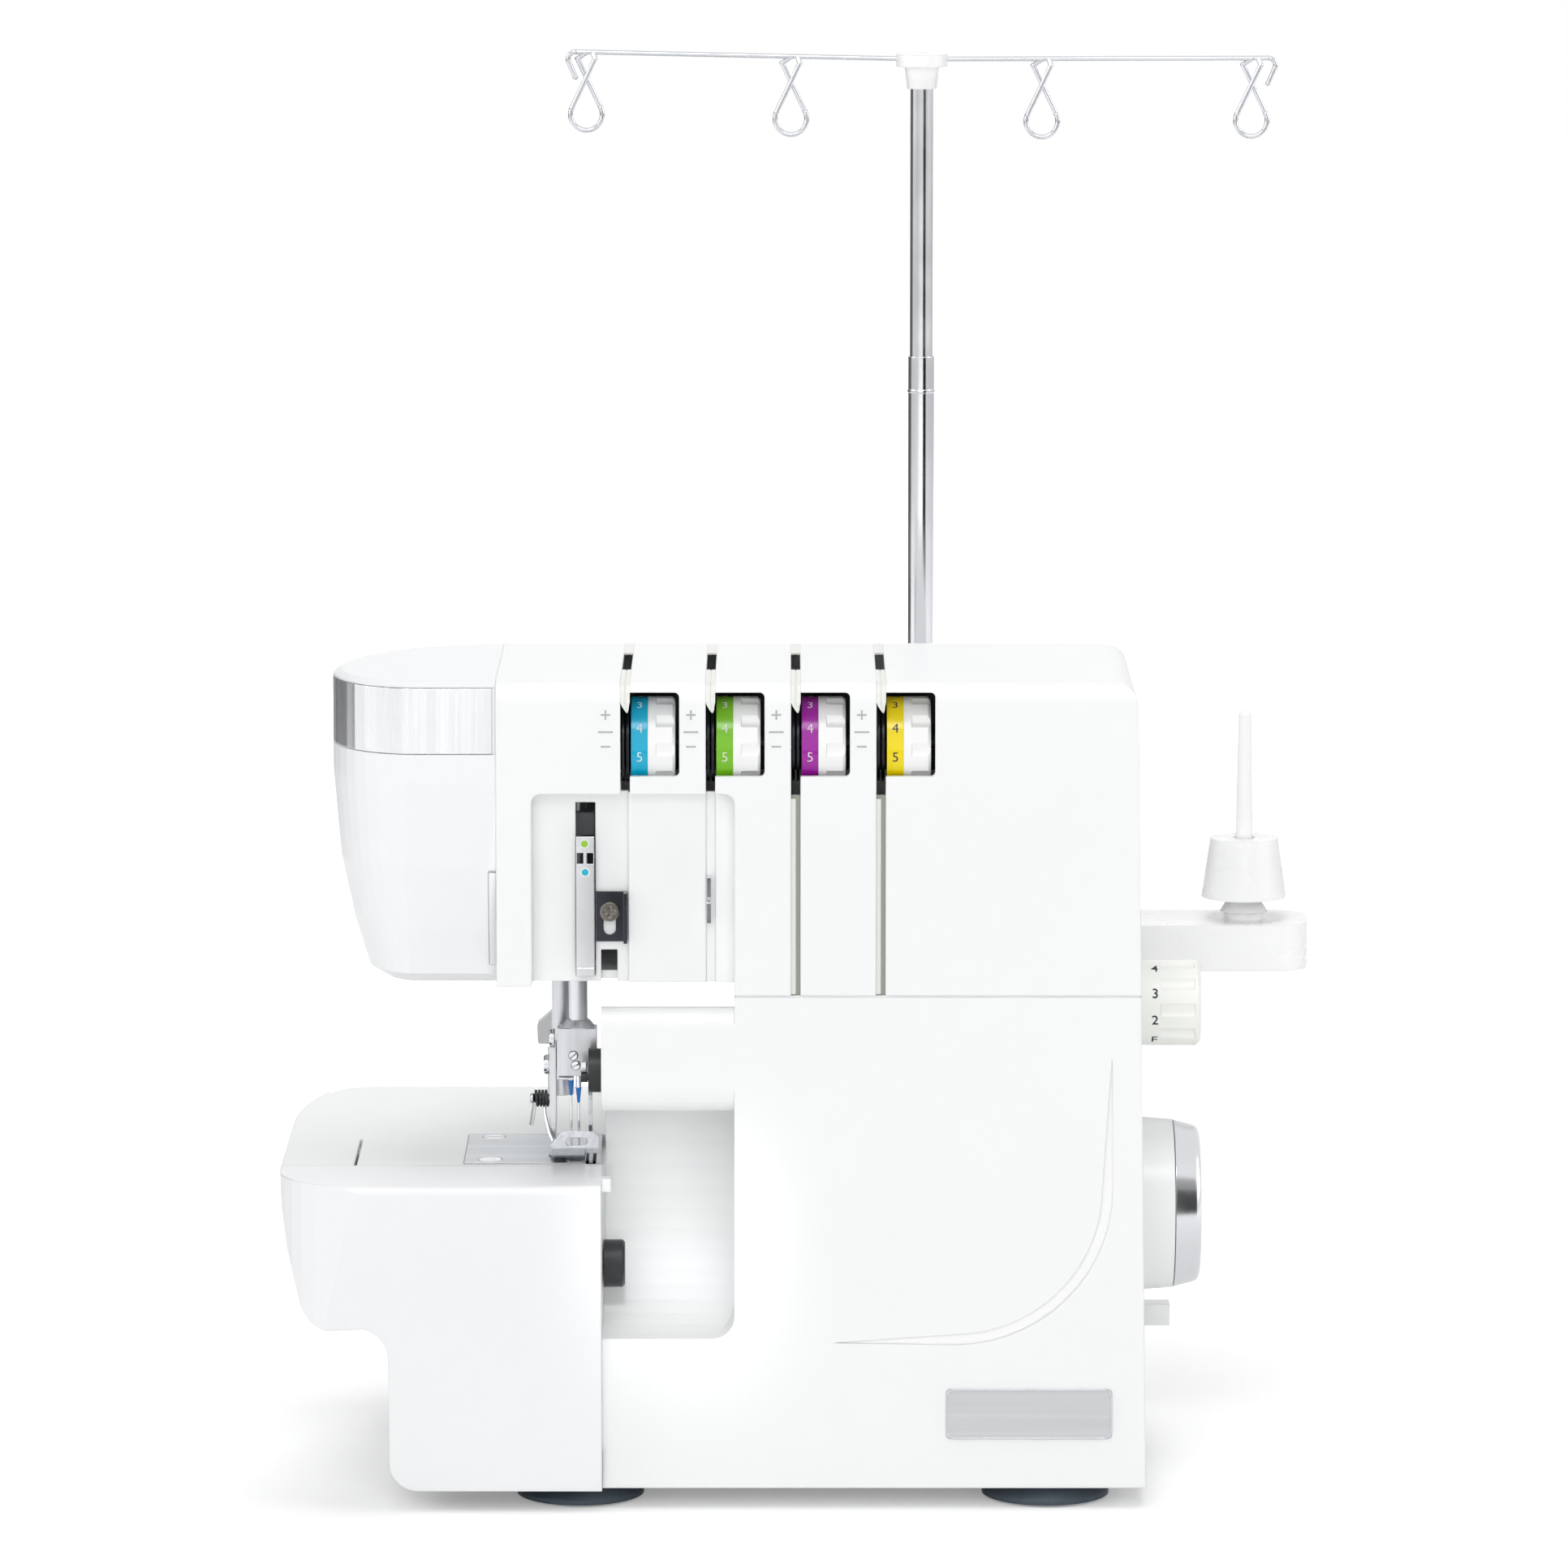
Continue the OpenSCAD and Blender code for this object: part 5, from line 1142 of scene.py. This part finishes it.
    def _rail(self, number: int) -> None:
        """Stand a light rail with a rounded edge in the groove under a dial window."""
        low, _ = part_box("upper_housing")
        middle = self._slot_middle(number)
        left = middle - self.groove_width / 2 - 0.03 * MM
        right = middle + 0.1 * MM
        floor = low.y + self.rail_floor
        crest = low.y + self.rail_crest
        outline = [(left, floor), (left, crest)]
        for sine, cosine in arc(0.0, 90.0, 5):
            outline.append((right - self.rail_round * (1 - sine), crest + self.rail_round * (1 - cosine)))
        outline.append((right, floor))
        form = bmesh.new()
        rings = []
        for z, shy in (
            (low.z + 0.3 * MM, self.rail_shy),
            (low.z + 0.6 * MM, 0.0),
            (low.z + self.rail_drop - 0.6 * MM, 0.0),
            (low.z + self.rail_drop - 0.2 * MM, self.rail_shy),
        ):
            rings.append([form.verts.new((x, min(y + shy, floor), z)) for x, y in outline])
        loft(form, rings)
        self.piece(f"slot_rail_{number}", form, Look.LINING, "machine", "white_plastic")

    def _rounded(self, low: Vector, high: Vector, inset: float) -> list[Pair]:
        """Trace a rounded rectangle in the front plane.

        Args:
            low: The plate's lowest corner.
            high: The plate's highest corner.
            inset: How far inside the edge the trace runs.

        Returns:
            Points as X and Z pairs.
        """
        corner = self.rim_corner - inset
        points = []
        for sx, sz, start in ((1, 1, 0), (-1, 1, 90), (-1, -1, 180), (1, -1, 270)):
            cx = (high.x if sx > 0 else low.x) - sx * (inset + corner)
            cz = (high.z if sz > 0 else low.z) - sz * (inset + corner)
            for step in range(7):
                turn = math.radians(start + step * 15)
                points.append((cx + corner * math.cos(turn), cz + corner * math.sin(turn)))
        return points


@dataclass
class Bed(SubAssembly):
    """The free arm with its covers and plates."""

    looks: dict[str, Look] = wearing(
        face_cover=Look.FACE_WHITE,
        face_band=Look.SATIN_CHROME,
        bed_body=Look.INNER,
        cloth_plate=Look.BED_WHITE,
        needle_plate=Look.PLATE,
        plate_screws=Look.CHROME,
        looper_cover=Look.COVER_WHITE,
        cutting_width_knob=Look.BLACK,
    )
    lip_width: float = 2.7 * MM
    lip_wall: float = 1.6 * MM
    lip_flange: float = 3.4 * MM
    front_line: tuple[Pair, ...] = ((12.3, 184.0), (10.3, 190.3), (7.1, 200.7), (2.55, 222.5))
    rear_line: tuple[Pair, ...] = ((11.9, 185.5), (7.4, 200.0), (2.65, 223.5), (0.65, 246.0))

    def build(self) -> None:
        """Fit the folded lips that close the face cover's edges beside the seam."""
        low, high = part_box("face_cover")
        section = (
            (0.0, 0.0),
            (0.0, self.lip_flange),
            (-self.lip_wall, self.lip_flange),
            (-self.lip_wall, self.lip_wall),
            (-self.lip_width, self.lip_wall),
            (-self.lip_width, 0.0),
        )
        for name, plane, inward, line in (
            ("front_lip", low.y, 1.0, self.front_line),
            ("rear_lip", high.y, -1.0, self.rear_line),
        ):
            form = bmesh.new()
            rings = []
            for sink, z in in_mm(line):
                ring = [(high.x + x, plane + inward * (sink + y), z) for x, y in section]
                rings.append([form.verts.new(point) for point in ring])
            loft(form, rings)
            self.piece(name, form, Look.FACE_WHITE, "machine", "white_plastic")


@dataclass
class TensionDials(SubAssembly):
    """Four thread tension dials with their printed scales."""

    looks: dict[str, Look] = wearing(
        # The posts take near-black steel: painted shade of the deep slots.
        tension_posts=Look.DARK_STEEL,
        slot_guides=Look.CHROME,
        tension_ring_1=Look.CYAN,
        tension_ring_2=Look.GREEN,
        tension_ring_3=Look.PURPLE,
        tension_ring_4=Look.YELLOW,
        tension_knob_1=Look.KNOB_WHITE,
        tension_knob_2=Look.KNOB_WHITE,
        tension_knob_3=Look.KNOB_WHITE,
        tension_knob_4=Look.KNOB_WHITE,
    )
    digit_height: float = 3.3 * MM
    digit_weight: float = -0.012
    digit_pitch: float = 36.0
    four_angle: float = 27.0
    mark_gap: float = 8.6 * MM
    mark_rise: float = 0.15 * MM
    mark_arm: float = 1.65 * MM
    mark_thin: float = 0.28 * MM
    mark_line: float = 2.5 * MM
    mark_heights: Point = (12.3 * MM, 6.4 * MM, 1.4 * MM)

    def build(self) -> None:
        """Print the scales and the marks beside the windows."""
        for number in range(1, 5):
            self._scale(number)
            self._marks(number)

    def _scale(self, number: int) -> None:
        """Print the digits 0 to 9 round one ring."""
        low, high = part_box(f"tension_ring_{number}")
        drum = Drum((low + high) / 2, (high.z - low.z) / 2)
        whole = bmesh.new()
        for digit in range(10):
            form = glyphs(str(digit), self.digit_height, 0.0 if number == 4 else self.digit_weight)
            angle = self.four_angle + (4 - digit) * self.digit_pitch
            drum.print_on(form, (low.x + high.x) / 2, angle, PRINT_LIFT)
            absorb(whole, form)
        bmesh.ops.solidify(whole, geom=whole.faces[:], thickness=PRINT_DEPTH)
        look = Look.INK_NAVY if number == 4 else Look.INK_WHITE
        slot = "dark_plastic" if number == 4 else "white_plastic"
        self.piece(f"tension_digits_{number}", whole, look, f"tension_dial_{number}", slot)

    def _marks(self, number: int) -> None:
        """Print the plus, setting line and minus beside one window."""
        ring_low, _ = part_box(f"tension_ring_{number}")
        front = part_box("upper_housing")[0].y
        x = ring_low.x - self.mark_gap
        z = (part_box(f"tension_ring_{number}")[0].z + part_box(f"tension_ring_{number}")[1].z) / 2
        arm, thin, line = self.mark_arm, self.mark_thin, self.mark_line
        plus = [
            (thin, thin), (arm, thin), (arm, -thin), (thin, -thin), (thin, -arm), (-thin, -arm),
            (-thin, -thin), (-arm, -thin), (-arm, thin), (-thin, thin), (-thin, arm), (thin, arm),
        ]
        bar = [(line, thin), (line, -thin), (-line, -thin), (-line, thin)]
        dash = [(arm, thin), (arm, -thin), (-arm, -thin), (-arm, thin)]
        whole = bmesh.new()
        for outline, rise in zip((plus, bar, dash), self.mark_heights):
            form = prism(outline, self.mark_rise)
            form.transform(facing_front(Vector((x, front, z + rise))))
            absorb(whole, form)
        self.piece(f"tension_marks_{number}", whole, Look.INK_GREY, "machine", "white_plastic")


@dataclass
class NeedleArea(SubAssembly):
    """Needles, presser, take-up lever and the small parts round them."""

    looks: dict[str, Look] = wearing(
        needle_bar=Look.STEEL,
        needle_clamp=Look.STEEL,
        needles=Look.CHROME,
        take_up=Look.CHROME,
        presser_bar=Look.STEEL,
        presser_holder=Look.STEEL,
        presser_foot=Look.FOOT_STEEL,
        foot_lifter=Look.GREY_PLASTIC,
        arm_thread_guide=Look.BRACKET,
        guide_screw=Look.DARK_CHROME,
    )
    screw_places: tuple[Point, ...] = ((-81.1, 153.0, 38.0), (-80.3, 149.6, 24.0))
    side_screws: tuple[tuple[str, Point, float, float, str], ...] = (
        ("guide_plate_screw", (-0.0875, -0.0732, 0.1587), 3.4 * MM, 2.0 * MM, "needle_bar"),
        ("foot_screw", (-0.0895, -0.064, 0.1478), 3.5 * MM, 2.2 * MM, "presser_bar"),
    )
    pin_line: tuple[Pair, ...] = (
        (0.0, 0.0), (1.5, 0.0), (1.5, 5.6), (1.8, 5.7), (1.8, 6.3), (1.3, 6.8), (0.0, 6.95)
    )
    dots: tuple[tuple[str, float, float, Look], ...] = (
        ("green_dot", -0.0765, 0.2305, Look.INK_GREEN),
        ("blue_dot", -0.0763, 0.2207, Look.INK_BLUE),
    )
    dot_rim: tuple[Pair, ...] = ((1.15, 0.0), (1.65, 0.0), (1.6, 0.1), (1.2, 0.1), (1.15, 0.0))
    dot_cap: tuple[Pair, ...] = ((0.0, 0.0), (1.2, 0.0), (1.1, 0.12), (0.0, 0.16))
    cone_zones: tuple[Zone, ...] = (
        Zone((-0.0835, -0.08, 0.1379), (-0.0808, -0.06, 0.1434)),
        Zone((-0.0808, -0.08, 0.1353), (-0.0780, -0.06, 0.1408)),
    )
    nut_teeth: int = 18
    nut_reach: Pair = (1.55 * MM, 1.75 * MM)
    nut_length: float = 2.1 * MM
    nut_place: Point = (-0.0763, -0.0835, 0.1507)
    rod_points: tuple[Point, ...] = (
        (-0.0914, -0.067, 0.1335),
        (-0.0912, -0.0685, 0.1312),
        (-0.0905, -0.0705, 0.1282),
        (-0.0895, -0.0725, 0.1250),
        (-0.0883, -0.0742, 0.1224),
    )
    tail_points: tuple[Point, ...] = (
        (-0.0944, -0.0634, 0.1355),
        (-0.0948, -0.0615, 0.1310),
        (-0.0952, -0.0605, 0.1282),
        (-0.0958, -0.0600, 0.1254),
    )
    spring_end: Vector = field(default_factory=lambda: Vector((-0.0946, -0.066, 0.1363)))
    spring_length: float = 4.6 * MM
    spring_radius: float = 2.6 * MM
    spring_turns: int = 4
    spring_steps: int = 20

    def build(self) -> None:
        """Make the small screws, the spring, the rods and the threading dots."""
        self._cones()
        self._clamp_screws()
        self._side_screws()
        self._spring()
        self._rods()
        self._dots()

    def _cones(self) -> None:
        """Colour the cone under each needle's shank."""
        self.inlay("needles", Look.CONE_BLUE, self.cone_zones)

    def _clamp_screws(self) -> None:
        """Set two slotted grub screws in the needle clamp."""
        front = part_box("needle_clamp")[0].y
        for number, (x, z, turn) in enumerate(self.screw_places, 1):
            form = slotted_head(1.5 * MM, 0.7 * MM, 0.42 * MM, turn)
            form.transform(facing_front(Vector((x * MM, front + 0.45 * MM, z * MM))))
            self.piece(f"clamp_screw_{number}", form, Look.CHROME, "needle_bar", "steel")

    def _side_screws(self) -> None:
        """Set the two side screws and the small nut beside the knife knob."""
        left = Matrix.Rotation(-math.pi / 2, 4, "Y")
        for name, place, radius, height, body in self.side_screws:
            form = slotted_head(radius, height, 0.9 * MM, 62.0)
            form.transform(Matrix.Translation(Vector(place)) @ left)
            self.piece(name, form, Look.CHROME, body, "steel")
        outline = []
        for i in range(self.nut_teeth * 2):
            reach = self.nut_reach[i % 2]
            turn = math.tau * i / (self.nut_teeth * 2)
            outline.append((reach * math.cos(turn), reach * math.sin(turn)))
        form = prism(outline, self.nut_length)
        bmesh.ops.bevel(
            form,
            geom=[e for e in form.edges if abs(e.verts[0].co.z - e.verts[1].co.z) < WELD],
            offset=0.15 * MM,
            segments=2,
            affect="EDGES",
        )
        form.transform(Matrix.Translation(Vector(self.nut_place)) @ left)
        self.piece("knob_nut", form, Look.STEEL, "upper_knife", "steel")

    def _spring(self) -> None:
        """Wind the small black spring beside the presser foot round its pin."""
        points = []
        for i in range(self.spring_turns * self.spring_steps + 1):
            turn = math.tau * i / self.spring_steps
            along = self.spring_length * i / (self.spring_turns * self.spring_steps)
            at = Vector((along, self.spring_radius * math.cos(turn), self.spring_radius * math.sin(turn)))
            points.append(self.spring_end + at)
        self._wire("foot_spring", points, 0.45 * MM, Look.BLACK, "dark_plastic")
        form = lathe(in_mm(self.pin_line), 32)
        start = self.spring_end + Vector((self.spring_length + 0.4 * MM, 0.0, 0.0))
        form.transform(Matrix.Translation(start) @ Matrix.Rotation(-math.pi / 2, 4, "Y"))
        self.piece("spring_pin", form, Look.CHROME, "presser_bar", "steel")

    def _rods(self) -> None:
        """Bend the thread rod of the foot and the spring's free end."""
        self._wire("foot_rod", self.rod_points, 0.6 * MM, Look.STEEL, "steel")
        self._wire("spring_tail", self.tail_points, 0.25 * MM, Look.STEEL, "steel")

    def _wire(
        self, name: str, points: Sequence[Vector | Point], radius: float, look: Look, slot: str
    ) -> None:
        """Draw a round wire through points on the presser bar's body.

        Args:
            name: The piece's name.
            points: What the wire's middle runs through.
            radius: Its half thickness.
            look: The finish it takes.
            slot: The record's material slot; not used.
        """
        curve = bpy.data.curves.new(name, "CURVE")
        curve.dimensions = "3D"
        curve.bevel_depth = radius
        curve.bevel_resolution = 3
        curve.use_fill_caps = True
        line = curve.splines.new("POLY")
        line.points.add(len(points) - 1)
        for place, at in zip(line.points, points):
            place.co = (*at, 1.0)
        thing = bpy.data.objects.new(name, curve)
        bpy.context.scene.collection.objects.link(thing)
        self.adopt(thing, look, "presser_bar", slot)

    def _dots(self) -> None:
        """Mark the two threading holes of the take-up lever."""
        low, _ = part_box("take_up")
        front = low.y + 1.0 * MM
        for name, x, z, look in self.dots:
            rim = lathe(in_mm(self.dot_rim), 32)
            rim.transform(facing_front(Vector((x, front, z))))
            self.piece(name + "_ring", rim, Look.INK_WHITE, "needle_bar", "steel")
            form = lathe(in_mm(self.dot_cap), 28)
            form.transform(facing_front(Vector((x, front, z))))
            self.piece(name, form, look, "needle_bar", "steel")


@dataclass
class Mechanism(SubAssembly):
    """Frame, drive, loopers and knives inside the shell."""

    looks: dict[str, Look] = wearing(
        machine_frame=Look.CASTING,
        motor=Look.MOTOR,
        drive_belt=Look.BELT,
        motor_pulley=Look.BLACK,
        main_shaft=Look.STEEL,
        looper_guides=Look.STEEL,
        lower_knife=Look.BLADE,
        lower_looper=Look.CHROME,
        upper_looper=Look.CHROME,
        upper_knife=Look.BLADE,
        knife_knob=Look.BLACK,
        feed_dog=Look.BLADE,
    )


@dataclass
class SideControls(SubAssembly):
    """Handwheel, length dial, feed lever, switch and inlet on the right side."""

    looks: dict[str, Look] = wearing(
        handwheel=Look.WHEEL_WHITE,
        handwheel_rim=Look.WHEEL_CHROME,
        stitch_length_dial=Look.DIAL_WHITE,
        feed_lever=Look.WHEEL_WHITE,
        power_switch=Look.BLACK,
        power_inlet=Look.BLACK,
    )
    figures: tuple[tuple[str, float], ...] = (("4", 63.0), ("3", 22.5), ("2", -14.0), ("F", -49.0))
    figure_height: float = 3.5 * MM
    figure_weight: float = 0.012
    figure_x: float = 121.2 * MM

    def build(self) -> None:
        """Print the stitch length figures round the dial."""
        low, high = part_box("stitch_length_dial")
        drum = Drum((low + high) / 2, (high.z - low.z) / 2)
        whole = bmesh.new()
        for text, angle in self.figures:
            form = glyphs(text, self.figure_height, self.figure_weight)
            drum.print_on(form, self.figure_x, angle, PRINT_LIFT)
            absorb(whole, form)
        bmesh.ops.solidify(whole, geom=whole.faces[:], thickness=PRINT_DEPTH)
        self.piece("length_figures", whole, Look.INK_NAVY, "stitch_length_dial", "dark_plastic")


@dataclass
class ThreadStand(SubAssembly):
    """Spool tray, mast and wire guide bar behind the arm."""

    looks: dict[str, Look] = wearing(
        spool_tray=Look.PALE,
        spool_pins=Look.PALE,
        cone_holders=Look.PALE,
        mast_lower=Look.CHROME,
        mast_upper=Look.CHROME,
        thread_guide_bar=Look.WIRE,
        guide_cap=Look.PALE,
    )


def main() -> None:
    """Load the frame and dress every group."""
    logging.basicConfig(level=logging.INFO, format="%(message)s")
    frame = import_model()
    Studio().build()
    shop = Paintshop()
    kinds = (Housing, Bed, TensionDials, NeedleArea, Mechanism, SideControls, ThreadStand)
    groups = [kind(frame, shop) for kind in kinds]
    for group in groups:
        group.dress()
        group.build()
        group.report()


if __name__ == "__main__":
    main()
